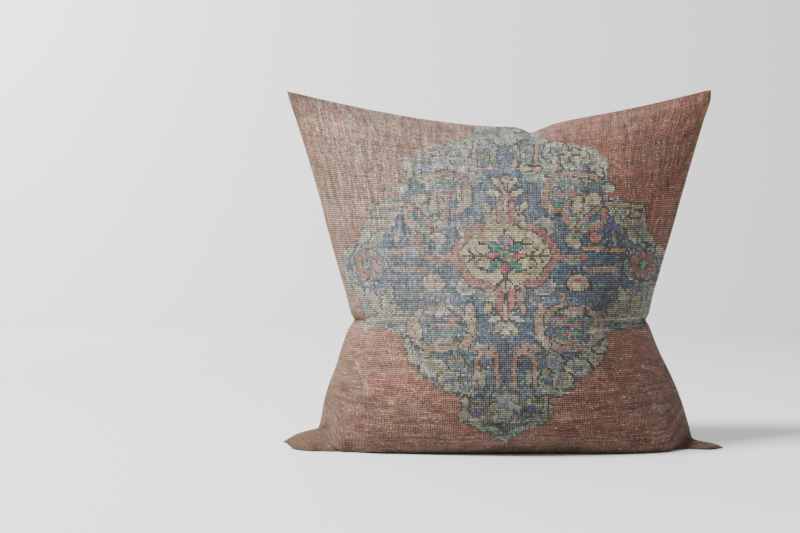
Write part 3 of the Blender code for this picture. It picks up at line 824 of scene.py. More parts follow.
def paint_field(chart, rng, shape):
    """The plain madder field: bands and patches of rosier, browner and darker dye lots."""
    bands = smooth_noise(rng, shape, (30, 3))
    patches = smooth_noise(rng, shape, (12, 10))
    chart.paint(3 - 14 * (bands + 0.5 * patches - 0.72), "rose", "rose", "madder", "coral")
    dark_bands = patches + 0.4 * smooth_noise(rng, shape, (60, 6))
    chart.paint(3 - 14 * (dark_bands - 0.86), "brick", "madder", "brick")
    chart.paint(3 - 14 * (smooth_noise(rng, shape, (70, 7)) - 0.76), "brick", "dark", "brick", "madder")
    chart.paint(3 - 14 * (smooth_noise(rng, shape, (9, 8)) - 0.62), "umber", "rust", "umber", "madder")
    chart.speckle(np.ones(shape, dtype=bool), 0.10, "rose", "tan", "brick", "brick")


def paint_upper(chart, out, z):
    """Scrolls, blossoms and leaves of the medallion's upper half, washed paler than the lower one."""
    chart.paint(oval(out, z, (60, 88), 44, 24), "bone", "sage", "steel", "sage", "bone")
    for centre, radius in (((50, 104), 13), ((70, 95), 14), ((86, 82), 12)):
        chart.outlined(hoop(out, z, centre, radius, radius * 0.8, 5), "sage", "bone", "bone", "olive")
        chart.paint(leaf(out, z, centre, radius * 1.6, 5, 40), "steel", "sage", "violet", "bone")
    chart.paint(oval(out, z, (79, 90), 5, 3), "violet", "lavender", "violet")
    scroll = path(out, z, ((44, 79), (60, 83), (88, 80), (97, 70), (101, 52), (99, 36)), 5)
    chart.outlined(scroll, "peach", "lavender", "tan")
    curl = path(out, z, ((43, 74), (39, 66), (39, 54), (46, 47), (54, 45)), 8)
    chart.outlined(curl, "beige", "peach", "beige")
    chart.paint(oval(out, z, (60, 65), 16, 12), "sage", "slate", "lavender", "bone", "navy")
    chart.paint(stroke(out, z, (48, 64), (72, 62), 3.4), "coral", "coral", "crimson")
    chart.paint(stroke(out, z, (56, 76), (72, 75), 3.0), "coral", "peach")
    chart.paint(oval(out, z, (60, 71), 6, 2.6), "emerald", "sage")
    chart.paint(oval(out, z, (51, 50), 4, 3), "emerald", "teal")
    chart.paint(oval(out, z, (90, 66), 12, 8), "teal", "slate", "navy")
    chart.outlined(hoop(out, z, (79, 42), 23, 19, 5), "peach", "peach", "beige", "coral")
    chart.paint(oval(out, z, (79, 42), 17, 13.5), "olive", "sage", "cream", "slate")
    chart.outlined(leaf(out, z, (72, 49), 18, 10, 60), "cream", "cream", "olive")
    chart.paint(leaf(out, z, (88, 38), 20, 9, 25), "teal", "slate", "teal")
    chart.outlined(stroke(out, z, (72, 30), (97, 52), 4), "peach", "beige")
    chart.paint(oval(out, z, (81, 31), 3.6, 3), "emerald", "emerald", "teal")
    chart.outlined(oval(out, z, (88, 57), 7, 5), "cream", "beige", "cream")
    chart.outlined(stroke(out, z, (101, 52), (136, 49), 4.5), "beige", "olive", "peach")
    chart.paint(oval(out, z, (110, 61), 6, 4), "crimson", "coral", "crimson")
    chart.outlined(oval(out, z, (103, 68), 6, 5), "sage", "sage", "bone")
    chart.paint(oval(out, z, (123, 34), 14, 13), "sage", "olive", "bone", "slate", "beige")
    chart.outlined(oval(out, z, (129, 42), 5, 4), "rust", "beige", "olive")
    chart.outlined(leaf(out, z, (107, 24), 34, 13, 96), "navy", "navy", "violet")
    chart.paint(leaf(out, z, (108, 19), 18, 4, 96), "olive", "cream")
    chart.outlined(oval(out, z, (69, 16), 9, 8), "bone", "cream", "sage")
    chart.paint(oval(out, z, (78, 15), 4, 4), "slate", "teal")
    chart.outlined(oval(out, z, (90, 18), 7, 5), "coral", "peach", "crimson")
    chart.outlined(leaf(out, z, (129, 18), 26, 9, -40), "sage", "bone", "sage")
    # Columns and the palmette under the top seam
    chart.outlined(stroke(out, z, (31, 110), (31, 88), 4.5), "peach", "beige")
    chart.outlined(stroke(out, z, (14, 88), (33, 87), 4.5), "beige", "cream", "peach")
    chart.outlined(leaf(out, z, (20, 103), 28, 14, 90), "teal", "sage", "steel", "sage")
    chart.paint(leaf(out, z, (20, 103), 16, 5, 90), "navy", "coral", "teal")
    chart.outlined(path(out, z, ((10, 112), (12, 98), (8, 88)), 4), "sage", "bone", "sage")
    chart.outlined(oval(out, z, (0, 121), 14, 11), "sage", "bone", "sage")
    for angle in range(0, 181, 36):
        spot = (15 * math.cos(math.radians(angle)), 121 + 12 * math.sin(math.radians(angle)))
        chart.outlined(oval(out, z, spot, 5, 4.5), "sage", "bone", "steel")


def paint_axis(chart, out, z):
    """Bands along the middle and the rosettes at their ends."""
    chart.outlined(stroke(out, z, (78, 8), (118, 5), 5), "peach", "coral", "beige")
    chart.outlined(stroke(out, z, (50, -1), (82, -2), 6), "coral", "peach", "coral")
    chart.paint(oval(out, z, (68, -4), 8, 6), "sage", "coral", "emerald", "bone")
    chart.paint(stroke(out, z, (84, -5), (118, -6), 6), "navy", "teal", "slate")
    chart.outlined(stroke(out, z, (80, -14), (110, -13), 6), "beige", "peach", "lavender")
    chart.paint(stroke(out, z, (92, -21), (112, -22), 5), "violet", "navy", "slate")
    rosette = (138, -9)
    chart.outlined(oval(out, z, rosette, 20, 21), "sage", "slate", "bone", "navy")
    chart.paint(oval(out, z, rosette, 16, 17), "slate", "navy", "teal")
    for petal in range(8):
        angle = math.radians(petal * 45 + 22)
        spot = (rosette[0] + 9.0 * math.cos(angle), rosette[1] + 10.0 * math.sin(angle))
        chart.outlined(oval(out, z, spot, 5.2, 5.2), "peach", "beige", "tan")
        chart.paint(oval(out, z, spot, 4.0, 4.0), "coral", "rust", "madder")
    chart.paint(oval(out, z, rosette, 8.5, 9.0), "madder", "rust", "coral")
    chart.outlined(oval(out, z, rosette, 3.8, 3.8), "emerald", "sage", "emerald")
    chart.outlined(leaf(out, z, (157, 3), 20, 7, -50), "bone", "sage")


def paint_lower(chart, out, z):
    """Scrolls, arches and the pendant of the medallion's lower half."""
    chart.paint(oval(out, z, (118, -52), 22, 20), "sage", "slate", "beige", "olive", "lavender")
    chart.outlined(leaf(out, z, (104, -38), 34, 14, 78), "navy", "dark", "teal")
    chart.outlined(leaf(out, z, (118, -42), 26, 9, 105), "sage", "bone", "sage")
    chart.outlined(leaf(out, z, (131, -46), 24, 9, 70), "sage", "olive", "beige")
    chart.outlined(stroke(out, z, (100, -63), (134, -64), 5), "bone", "beige", "sage")
    chart.outlined(stroke(out, z, (104, -70), (120, -70), 4), "sage", "emerald", "navy")
    chart.outlined(oval(out, z, (72, -27), 11, 8), "cream", "beige", "cream")
    chart.paint(leaf(out, z, (72, -25), 14, 5, 0), "beige", "coral", "cream")
    chart.paint(oval(out, z, (66, -43), 12, 6), "violet", "navy", "slate")
    chart.outlined(stroke(out, z, (58, -38), (58, -48), 3.6), "peach", "beige")
    chart.outlined(leaf(out, z, (89, -44), 26, 13, -48), "teal", "teal", "navy")
    for centre, half_width, half_height, dyes in (
        ((86, -101), 12, 9, ("olive", "sage", "cream")),
        ((72, -112), 13, 10, ("bone", "sage", "olive")),
        ((56, -124), 12, 9, ("sage", "olive", "bone")),
        ((50, -106), 9, 9, ("olive", "sage", "steel")),
        ((94, -88), 8, 9, ("sage", "cream", "slate")),
    ):
        chart.outlined(oval(out, z, centre, half_width, half_height), *dyes)
        chart.paint(oval(out, z, centre, half_width * 0.4, half_height * 0.4), "slate", "violet", "sage")
    chart.outlined(hoop(out, z, (65, -72), 34, 24, 5.5), "beige", "peach", "beige", "lavender")
    curl = path(out, z, ((36, -52), (33, -66), (34, -80), (42, -90)), 8)
    chart.outlined(curl, "beige", "cream", "peach")
    chart.paint(oval(out, z, (66, -72), 27, 18), "slate", "dark", "teal", "navy", "sage")
    chart.outlined(oval(out, z, (68, -56), 12, 5), "sage", "bone", "beige")
    for height, start, end, dyes in (
        (-63, 48, 60, ("coral", "peach")),
        (-69, 50, 74, ("peach", "coral", "beige")),
        (-74, 46, 70, ("navy", "slate")),
        (-78, 50, 80, ("emerald", "teal", "coral")),
        (-82, 52, 76, ("teal", "beige", "slate")),
        (-86, 54, 72, ("beige", "peach")),
    ):
        chart.paint(stroke(out, z, (start, height), (end, height), 3.2), *dyes)
    chart.outlined(stroke(out, z, (82, -62), (80, -82), 4), "steel", "violet", "steel")
    chart.outlined(leaf(out, z, (88, -72), 22, 8, 75), "sage", "cream", "olive")
    # Arches and columns
    arch = path(out, z, ((8, -112), (9, -102), (15, -97), (24, -97), (29, -103), (30, -128)), 5)
    chart.outlined(arch, "peach", "beige")
    chart.outlined(stroke(out, z, (9, -100), (8, -130), 4.5), "peach", "peach", "coral")
    chart.paint(stroke(out, z, (19, -106), (19, -110), 8), "violet", "navy", "violet")
    chart.outlined(leaf(out, z, (16, -122), 24, 7, 88), "teal", "teal", "slate")
    chart.outlined(leaf(out, z, (23, -122), 22, 6, 92), "olive", "sage")
    chart.paint(stroke(out, z, (37, -104), (37, -128), 6), "slate", "teal", "sage")
    chart.outlined(leaf(out, z, (42, -120), 22, 8, 110), "slate", "olive", "steel")
    chart.paint(stroke(out, z, (0, -88), (0, -134), 7), "navy", "navy", "slate")
    chart.paint(path(out, z, ((10, -94), (22, -90), (34, -94)), 5), "beige", "peach", "beige")
    # The pendant blossom
    chart.paint(oval(out, z, (0, -154), 22, 24), "navy", "dark", "teal", "dark")
    chart.outlined(oval(out, z, (29, -150), 8, 10), "slate", "olive", "dark")
    chart.paint(stroke(out, z, (22, -156), (34, -156), 4), "violet", "navy")
    chart.outlined(stroke(out, z, (40, -142), (40, -162), 5), "olive", "sage", "beige")
    chart.outlined(oval(out, z, (0, -151), 11, 15), "sage", "slate", "olive")
    for spot in ((10, -141), (13, -152), (9, -163)):
        chart.outlined(oval(out, z, spot, 4, 4), "sage", "olive", "slate")
    chart.paint(oval(out, z, (0, -150), 8, 11), "sage", "sage", "steel")
    chart.paint(oval(out, z, (0, -150), 4, 5), "teal", "olive")
    chart.outlined(leaf(out, z, (12, -174), 22, 7, 25), "sage", "emerald", "teal")


def paint_cartouche(chart, x, out, z):
    """The cream cartouche with its plants, and the stems and flowers above and below it."""
    for corner, size in (((39, 29), 11), ((38, -30), 11)):
        chart.outlined(oval(out, z, corner, size, size * 0.85), "bone", "lavender", "bone")
        chart.paint(oval(out, z, corner, size - 2.6, size * 0.85 - 2.4), "lavender", "lavender", "sage")
    inner = polygon_distance(x, z, CARTOUCHE_EDGE)
    chart.outlined(inner - 8.5, "coral", "peach", "coral", "rose")
    chart.paint(stroke(out, z, (50, 0), (60, -1), 5), "coral", "peach", "coral")
    chart.paint(inner - 2.2, "dark", "madder", "dark")
    chart.paint(inner - 0.6, "cream")
    for sign, lean in ((1, 0), (-1, 3)):
        chart.outlined(leaf(out, z, (13, sign * 39 - lean), 27, 12, sign * -58), "beige", "cream", "beige")
        chart.outlined(leaf(out, z, (18, sign * 49 - lean), 15, 6, sign * 62), "cream", "beige")
        chart.outlined(oval(out, z, (23.5, sign * 44), 3.4, 3.2), "emerald", "emerald", "teal")
        chart.paint(oval(out, z, (28, sign * 47), 3, 3), "lavender", "violet", "coral")
        chart.outlined(path(out, z, ((6, sign * 34), (6, sign * 62)), 5.5), "coral", "peach", "coral")
        chart.outlined(oval(out, z, (5, sign * 60), 5.5, 4), "crimson", "coral", "crimson")
        chart.outlined(leaf(out, z, (12, sign * 63), 16, 6, sign * 15), "cream", "bone")
        chart.paint(stroke(x, z, (0, sign * 30), (0, sign * 66), 3.4), "cream", "bone", "cream")
        chart.outlined(oval(out, z, (0, sign * 73), 7.5, 7), "cream", "beige", "cream")
        chart.outlined(leaf(out, z, (7, sign * 72), 16, 6, sign * 50), "cream", "beige")
    # The small plants inside
    for start, end in (
        ((20, 0), (43, 0)),
        ((24, 0), (31, 7)),
        ((24, 0), (31, -8)),
        ((32, 0), (37, 5)),
        ((32, 0), (37, -6)),
        ((12, 13), (24, 17)),
        ((12, -14), (23, -18)),
        ((20, 12), (27, 13)),
        ((19, -13), (26, -12)),
        ((0, 24), (7, 33)),
        ((0, -20), (8, -30)),
        ((0, -22), (0, -44)),
    ):
        chart.paint(stroke(out, z, start, end, 2.2), "dark")
    for turn, spot in ((42, (30, 9)), (-42, (30, -10)), (25, (21, 16)), (-25, (20, -17)), (60, (5, 30))):
        chart.paint(leaf(out, z, spot, 8, 4.4, turn), "sage", "olive", "beige")
    for spot, length, width, turn, dyes in (
        ((11, 8), 17, 8, 25, ("emerald", "emerald", "teal")),
        ((11, -10), 17, 8, -35, ("emerald", "emerald", "teal")),
        ((14, 0.5), 15, 6.5, 0, ("coral", "crimson", "coral")),
        ((0, -13), 12, 9, 90, ("crimson", "crimson", "coral")),
        ((0, 15), 14, 14, 90, ("lavender", "coral", "lavender", "violet")),
    ):
        chart.outlined(leaf(out, z, spot, length, width, turn), *dyes)
    chart.outlined(oval(x, z, (0, 0.5), 5.4, 5.4), "sage", "emerald", "sage")
    chart.paint(oval(x, z, (0, 0.5), 2.2, 2.2), "teal", "olive")


def knot_chart(x, z):
    """Linear colours of the knots at x, z, two arrays in chart units with rows from the bottom up."""
    rng = np.random.default_rng(7)
    shape = x.shape
    chart = Chart(shape, rng)
    out = np.abs(x + (smooth_noise(rng, shape, (40, 40)) - 0.5) * 2.4)
    up = np.linspace(0.0, 1.0, shape[0])[:, None]
    across = np.linspace(-1.0, 1.0, shape[1])[None, :]
    paint_field(chart, rng, shape)

    edge = polygon_distance(x, z, MEDALLION_EDGE) + (smooth_noise(rng, shape, (60, 60)) - 0.5) * 5
    lobes = 4.5 * np.abs(np.sin(np.arctan2(z * 1.05, out) * 11.0))
    chart.outlined(edge, "sage", "sage", "bone", "olive", "steel")
    chart.outlined(edge + 8 + lobes, "beige", "sage", "bone", "lavender")
    chart.outlined(edge + 13 + lobes, "slate", "slate", "navy", "steel", "slate")
    paint_upper(chart, out, z)
    paint_lower(chart, out, z)
    paint_axis(chart, out, z)
    paint_cartouche(chart, x, out, z)

    medallion = edge < 0
    cartouche = polygon_distance(x, z, CARTOUCHE_EDGE) < 0
    chart.speckle(medallion & ~cartouche, 0.06, "dark", "dark", "bone", "olive", "slate", "steel")
    dyes = np.array([linear(value) for value in DYES.values()])
    colour = dyes[chart.dye]

    # Worn down to the cotton ground: in streaks up the warp above, in dots along the rows below
    high = smooth((up - 0.30) / 0.45)
    left = smooth((0.55 - across) / 1.1)
    bare = (rng.random(shape) < 0.25 + 0.55 * left * high)[..., None]
    # Cotton shows cool and grey between the blue knots, and stained by the madder elsewhere
    stained = np.where(medallion[..., None], np.array(linear("#a9a6a0")), np.array(linear(DYES["tan"])))
    clean = np.where(medallion[..., None], np.array(linear("#c6cbce")), np.array(linear(DYES["bone"])))
    ground = np.where(bare, clean, stained)
    fine = smooth_noise(rng, shape, (shape[0] // 7, shape[1]))
    streaks = smooth((fine - 0.62 + 0.10 * left) / 0.22) * high * (0.08 + 0.22 * left)
    scratched = (rng.random((1, shape[1])) > 0.95) * (smooth_noise(rng, shape, (16, 90)) > 0.6)
    scratched = scratched * high * 0.3
    dots = (rng.random(shape) < 0.22 - 0.06 * high) * (0.14 + (0.46 - 0.20 * high) * rng.random(shape))
    threads = (rng.random((shape[0], 1)) > 0.72) * smooth_noise(rng, shape, (50, 16))
    threads = threads * 0.30 * (1 - 0.5 * high)
    wear = 0.04 + 0.13 * left * high + streaks + scratched + dots + threads
    wear = wear + 0.13 * smooth_noise(rng, shape, (10, 10)) * (0.5 + left)
    wear = wear + 0.35 * (rng.random(shape) < 0.012)
    for start, end in (
        ((-140, -74), (-122, -57)),
        ((-96, -112), (-89, -124)),
        ((-89, -124), (-82, -114)),
        ((-47, -106), (-30, -129)),
        ((24, -77), (40, -89)),
        ((98, -64), (84, -89)),
        ((157, -142), (170, -159)),
        ((140, -128), (150, -150)),
        ((-150, -104), (-136, -140)),
        ((116, 118), (128, 130)),
        ((-70, 102), (-52, 88)),
    ):
        wear = wear + 0.7 * np.exp(-(np.maximum(stroke(x, z, start, end, 0.8), 0.0) ** 2) / 0.6)
    wear = np.clip(wear * np.where(cartouche, 0.35, np.where(medallion, 0.72, 1.0)), 0.0, 0.85)[..., None]
    colour = colour * (1 - wear) + ground * wear

    # The dye drifts along the rows and browns towards the edges; painted shade darkens the foot and the right
    # side
    drift = 0.84 + 0.34 * smooth_noise(rng, shape, (44, 3)) * smooth_noise(rng, shape, (8, 8))
    # Painted shade: knots darker towards the foot, most at the left, and a little darker towards the right
    # side
    foot = 1 - smooth((up - 0.02) / 0.46)
    foot_shade = foot * (0.62 - 0.22 * smooth((across + 1) / 2))
    drift = drift * (1 - foot_shade - 0.10 * smooth((across + 0.2) / 1.0))
    # Along the warp above and along the weft below, some threads lie deeper and look darker
    runs_up = smooth_noise(rng, shape, (shape[0] // 6, shape[1]))
    runs_along = smooth_noise(rng, shape, (shape[0], shape[1] // 7))
    runs = runs_up * high + runs_along * (1 - high)
    speckle = (0.62 + 0.76 * rng.random(shape)) * (0.84 + 0.32 * rng.random((shape[0], 1)))
    speckle = WOOL_DEPTH * speckle * (0.50 + 1.00 * runs)
    colour = colour * (drift * speckle)[..., None]
    browned = smooth((-across - 0.86) / 0.12) + smooth((across - 0.90) / 0.09) * smooth((up - 0.6) / 0.3)
    browned = browned + smooth((-across - 0.80) / 0.10) * (1 - smooth((up - 0.07) / 0.05)) * 0.9
    browned = (browned * (0.35 + 0.65 * smooth_noise(rng, shape, (12, 4))) * 0.5)[..., None]
    ochre = np.array(linear("#8d6a42")) * (0.55 + 0.9 * rng.random(shape))[..., None]
    colour = colour * (1 - browned) + ochre * WOOL_DEPTH * browned
    greyed = smooth((up - 0.974) / 0.02) * smooth((-across - 0.72) / 0.24) * 0.55
    greyed = greyed[..., None]
    colour = colour * (1 - greyed) + np.array(linear("#77736c")) * WOOL_DEPTH * greyed
    return np.clip(colour, 0.0, 1.0)


# The chart is laid out as it is seen from here, in front of the filled cover, so that the bulge doesn't
# swell its middle. The camera stands at the same place.
CHART_EYE = (-0.1158, -1.53, 0.205)
CHART_CENTRE = (0.0053, 0.2170)
CHART_UNIT = 0.0011476


def rug_front():
    """The front, one face to a knot."""
    moves = settle(-1)

    def point(across, up):
        spot = cover(-1, across * 2 - 1, up) + between(moves, across, up)
        spot[..., 2] = np.maximum(spot[..., 2], 0.0)
        return spot

    front = grid_mesh("rug_front", COLUMNS, ROWS, point)
    mesh = front.data
    centres = np.empty(len(mesh.polygons) * 3)
    mesh.polygons.foreach_get("center", centres)
    centres = centres.reshape(-1, 3)
    marks = np.empty(len(mesh.loops) * 2)
    mesh.uv_layers["OFBake"].data.foreach_get("uv", marks)
    middles = marks.reshape(-1, 4, 2).mean(axis=1)
    column = np.clip((middles[:, 0] * COLUMNS).astype(int), 0, COLUMNS - 1)
    row = np.clip((middles[:, 1] * ROWS).astype(int), 0, ROWS - 1)
    near = -CHART_EYE[1] / (centres[:, 1] - CHART_EYE[1])
    x = np.zeros((ROWS, COLUMNS))
    z = np.zeros((ROWS, COLUMNS))
    x[row, column] = (CHART_EYE[0] + (centres[:, 0] - CHART_EYE[0]) * near - CHART_CENTRE[0]) / CHART_UNIT
    z[row, column] = (CHART_EYE[2] + (centres[:, 2] - CHART_EYE[2]) * near - CHART_CENTRE[1]) / CHART_UNIT
    colours = np.ones((len(mesh.polygons), 4), dtype=np.float32)
    colours[:, :3] = knot_chart(x, z)[row, column]
    layer = mesh.color_attributes.new(name="knots", type="FLOAT_COLOR", domain="CORNER")
    layer.data.foreach_set("color", np.repeat(colours, 4, axis=0).ravel())
    return front


def window_edge(across):
    """Half the gap between the two canvas edges: open along the zip, closed past its ends."""
    x = cover(1, across, np.full_like(across, level_at(ZIP_HEIGHT)))[..., 0]
    past = ZIP_RADIUS * np.arcsin(np.clip(np.abs(x) / ZIP_RADIUS, 0.0, 1.0)) - ZIP_HALF - WINDOW_END
    return ZIP_WINDOW + (0.00015 - ZIP_WINDOW) * smooth(past / (2 * WINDOW_END))


def canvas_back(name, moves, rows, low_edge, high_edge):
    """A canvas panel between two levels, each a function of the share across."""

    def level(across, up):
        low, high = low_edge(across), high_edge(across)
        return low + (high - low) * up

    def point(across, up):
        whole = level(1 - 2 * across, up)
        spot = cover(1, 1 - 2 * across, whole) + between(moves, across, whole)
        spot[..., 2] = np.maximum(spot[..., 2], CANVAS_THICKNESS)
        return spot

    def uv(shares):
        return np.stack([shares[:, 0], level(1 - 2 * shares[:, 0], shares[:, 1])], axis=-1)

    panel = grid_mesh(name, 200, rows, point, uv)
    wall = panel.modifiers.new("wall", "SOLIDIFY")
    wall.thickness = CANVAS_THICKNESS
    wall.offset = -1.0
    return panel


def pillow_insert():
    """The stuffed insert: a closed crowned form that fills the cover."""
    sides = []
    for side in (-1, 1):

        def point(across, up, side=side):
            across = (across * 2 - 1) * -side
            spot = cover(side, across * 0.90, 0.03 + 0.93 * up)
            seam = seam_y(spot[..., 2])
            fade = smooth((1 - np.abs(across)) / 0.08) * smooth(np.minimum(up, 1 - up) / 0.05)
            spot[..., 1] = seam + (spot[..., 1] - seam) * 0.86 * fade
            spot[..., 2] = 0.004 + spot[..., 2] * 0.97
            return spot

        sides.append(grid_mesh("insert_side", 64, 64, point))
    bm = bmesh.new()
    for half in sides:
        bm.from_mesh(half.data)
        bpy.data.objects.remove(half)
    bmesh.ops.remove_doubles(bm, verts=bm.verts, dist=0.0002)
    bmesh.ops.recalc_face_normals(bm, faces=bm.faces)
    return finished("pillow_insert", bm)


def finished(name, bm):
    """The bmesh as a smooth-shaded object in the scene."""
    mesh = bpy.data.meshes.new(name)
    bm.to_mesh(mesh)
    bm.free()
    mesh.shade_smooth()
    thing = bpy.data.objects.new(name, mesh)
    bpy.context.scene.collection.objects.link(thing)
    return thing


def on_zip(along, height, out):
    """Where a small part sits on the zip: its x runs along the zip, its y up, its z out of the cover."""
    angle = along / ZIP_RADIUS
    outward = Vector((math.sin(angle), math.cos(angle), 0.0))
    tangent = Vector((-math.cos(angle), math.sin(angle), 0.0))
    place = Matrix((tangent, Vector((0.0, 0.0, 1.0)), outward)).transposed().to_4x4()
    place.translation = ZIP_AXIS + outward * (ZIP_RADIUS + out) + Vector((0.0, 0.0, height))
    return place


def small_bars(name, places, size, rounding):
    """Many small rounded bars in one piece, each of the same size."""
    bm = bmesh.new()
    bmesh.ops.create_cube(bm, size=1.0, matrix=Matrix.Diagonal((*size, 1.0)))
    bmesh.ops.bevel(
        bm,
        geom=bm.edges[:],
        offset=rounding,
        affect="EDGES",
        segments=1,
        profile=0.5,
        material=-1,
        clamp_overlap=True,
    )
    one = bpy.data.meshes.new(name)
    bm.to_mesh(one)
    bm.free()
    bm = bmesh.new()
    for place in places:
        before = len(bm.verts)
        bm.from_mesh(one)
        bm.verts.ensure_lookup_table()
        bmesh.ops.transform(bm, matrix=place, verts=bm.verts[before:])
    bpy.data.meshes.remove(one)
    return finished(name, bm)


STITCH_PITCH, STITCH_SIZE = 0.0030, (0.0024, 0.00055, 0.0005)
TACK_THREADS, TACK_PITCH, TACK_SIZE = 16, 0.00064, (0.0022, 0.00056, 0.0005)
COIL_PITCH, COIL_SIZE = 0.0015, (0.00095, 0.0027, 0.0013)


def evenly_along(half_length, pitch):
    """Places a pitch apart along the zip, centred on its middle."""
    count = int(2 * half_length / pitch)
    return [-half_length + (2 * half_length - (count - 1) * pitch) / 2 + i * pitch for i in range(count)]


def zip_stitches(sign):
    """Lockstitches 3 mm long, a little proud of the cloth, that hold the folded canvas to the tape."""
    height = sign * (ZIP_WINDOW + 0.0022)
    tilt = Matrix.Rotation(math.radians(3.0), 4, "Z")
    along_zip = evenly_along(ZIP_HALF + WINDOW_END, STITCH_PITCH)
    places = [on_zip(along, height, 0.00012) @ tilt for along in along_zip]
    name = "zip_stitches_upper" if sign > 0 else "zip_stitches_lower"
    return small_bars(name, places, STITCH_SIZE, 0.00015)


def bar_tack(name, along):
    """A bar tack: threads laid close together across the end of the zip."""
    places = []
    for i in range(TACK_THREADS):
        lean = Matrix.Rotation(math.radians(5.0 if i % 2 else -5.0), 4, "Z")
        places.append(on_zip(along, -0.0048 + TACK_PITCH * i, 0.00025) @ lean)
    return small_bars(name, places, TACK_SIZE, 0.00015)


def coil_turns(sign):
    """One side of the nylon coil: a turn every 1.5 mm, interlocked with the other side's."""
    start = COIL_PITCH / 2 if sign > 0 else 0.0
    along_zip = evenly_along(0.1375, COIL_PITCH)
    places = [on_zip(along + start, sign * COIL_SIZE[1] / 2, -0.0005) for along in along_zip]
    name = "zip_coil_upper" if sign > 0 else "zip_coil_lower"
    return small_bars(name, places, COIL_SIZE, 0.0003)


def care_label():
    """A folded ribbon sewn into the side seam, low on the right, curling a little off the canvas."""

    def point(along, up):
        level = level_at(0.047 + 0.026 * up)
        spot = cover(1, 1.0 - 0.21 * along, level)
        spot[..., 1] += 0.0012 + 0.0035 * along**2 + 0.0006 * np.sin(along * 7 + up * 2)
        return spot

    label = grid_mesh("care_label_ribbon", 40, 26, point)
    wall = label.modifiers.new("fold", "SOLIDIFY")
    wall.thickness = LABEL_THICKNESS
    wall.offset = 1.0
    return label


def ribbon_satin():
    """White polyester satin ribbon: smooth, a soft sheen across fine ribs, a woven border, no printing."""
    made, tree, shader = new_material("polyester_satin_ribbon", 0.42, sheen=0.2)
    marks = add(tree, "ShaderNodeUVMap", {"uv_map": "OFBake"})
    parts = add(tree, "ShaderNodeSeparateXYZ", i0=marks.outputs[0])
    turn = add(tree, "ShaderNodeMath", {"operation": "MULTIPLY"}, i0=parts.outputs["Y"], i1=math.pi * 90)
    rib = add(tree, "ShaderNodeMath", {"operation": "SINE"}, i0=turn.outputs[0])
    middle = add(tree, "ShaderNodeMath", {"operation": "SUBTRACT"}, i0=parts.outputs["Y"], i1=0.5)
    middle = add(tree, "ShaderNodeMath", {"operation": "ABSOLUTE"}, i0=middle.outputs[0])
    ramp = add(tree, "ShaderNodeValToRGB", i0=middle.outputs[0])
    ramp.color_ramp.interpolation = "CONSTANT"
    ramp.color_ramp.elements[0].color = (*linear("#d9d4c8"), 1.0)
    ramp.color_ramp.elements[1].position = 0.46
    ramp.color_ramp.elements[1].color = (*linear("#d9d4c8"), 1.0)
    edge = ramp.color_ramp.elements.new(0.43)
    edge.color = (*linear("#8d5b4b"), 1.0)
    tree.links.new(ramp.outputs[0], shader.inputs["Base Color"])
    bump = add(tree, "ShaderNodeBump", Strength=0.3, Distance=0.0002, Height=rib.outputs[0])
    tree.links.new(bump.outputs[0], shader.inputs["Normal"])
    return made


def woven_tape():
    """Polyester zip tape, woven in a fine herringbone: matt, dyed to match the canvas."""
    made, tree, shader = new_material("polyester_zip_tape_woven", 0.8, sheen=0.1)
    place = add(tree, "ShaderNodeTexCoord")
    parts = add(tree, "ShaderNodeSeparateXYZ", i0=place.outputs["Object"])
    # Ribs 0.8 mm apart, drawn coarser than the real 0.4 mm so that they show
    up = add(tree, "ShaderNodeMath", {"operation": "PINGPONG"}, i0=parts.outputs["Z"], i1=0.0016)
    slant = add(tree, "ShaderNodeMath", {"operation": "ADD"}, i0=parts.outputs["X"], i1=up.outputs[0])
    turn = add(
        tree, "ShaderNodeMath", {"operation": "MULTIPLY"}, i0=slant.outputs[0], i1=2 * math.pi / 0.0008
    )
    rib = add(tree, "ShaderNodeMath", {"operation": "SINE"}, i0=turn.outputs[0])
    tone = add(tree, "ShaderNodeMapRange", Value=rib.outputs[0], From_Min=-1.0, From_Max=1.0)
    ramp = add(tree, "ShaderNodeValToRGB", i0=tone.outputs[0])
    ramp.color_ramp.elements[0].color = (*linear("#5c3529"), 1.0)
    ramp.color_ramp.elements[1].color = (*linear("#85503f"), 1.0)
    tree.links.new(ramp.outputs[0], shader.inputs["Base Color"])
    bump = add(tree, "ShaderNodeBump", Strength=0.4, Distance=0.0002, Height=rib.outputs[0])
    tree.links.new(bump.outputs[0], shader.inputs["Normal"])
    return made


def dress(thing, surface, body, slot, *nodes):
    """Gives a new piece its material and body, and hides the nodes it stands for. slot is not used."""
    thing.data.materials.append(surface)
    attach(thing, body)
    if nodes:
        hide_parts(*nodes)
    return thing


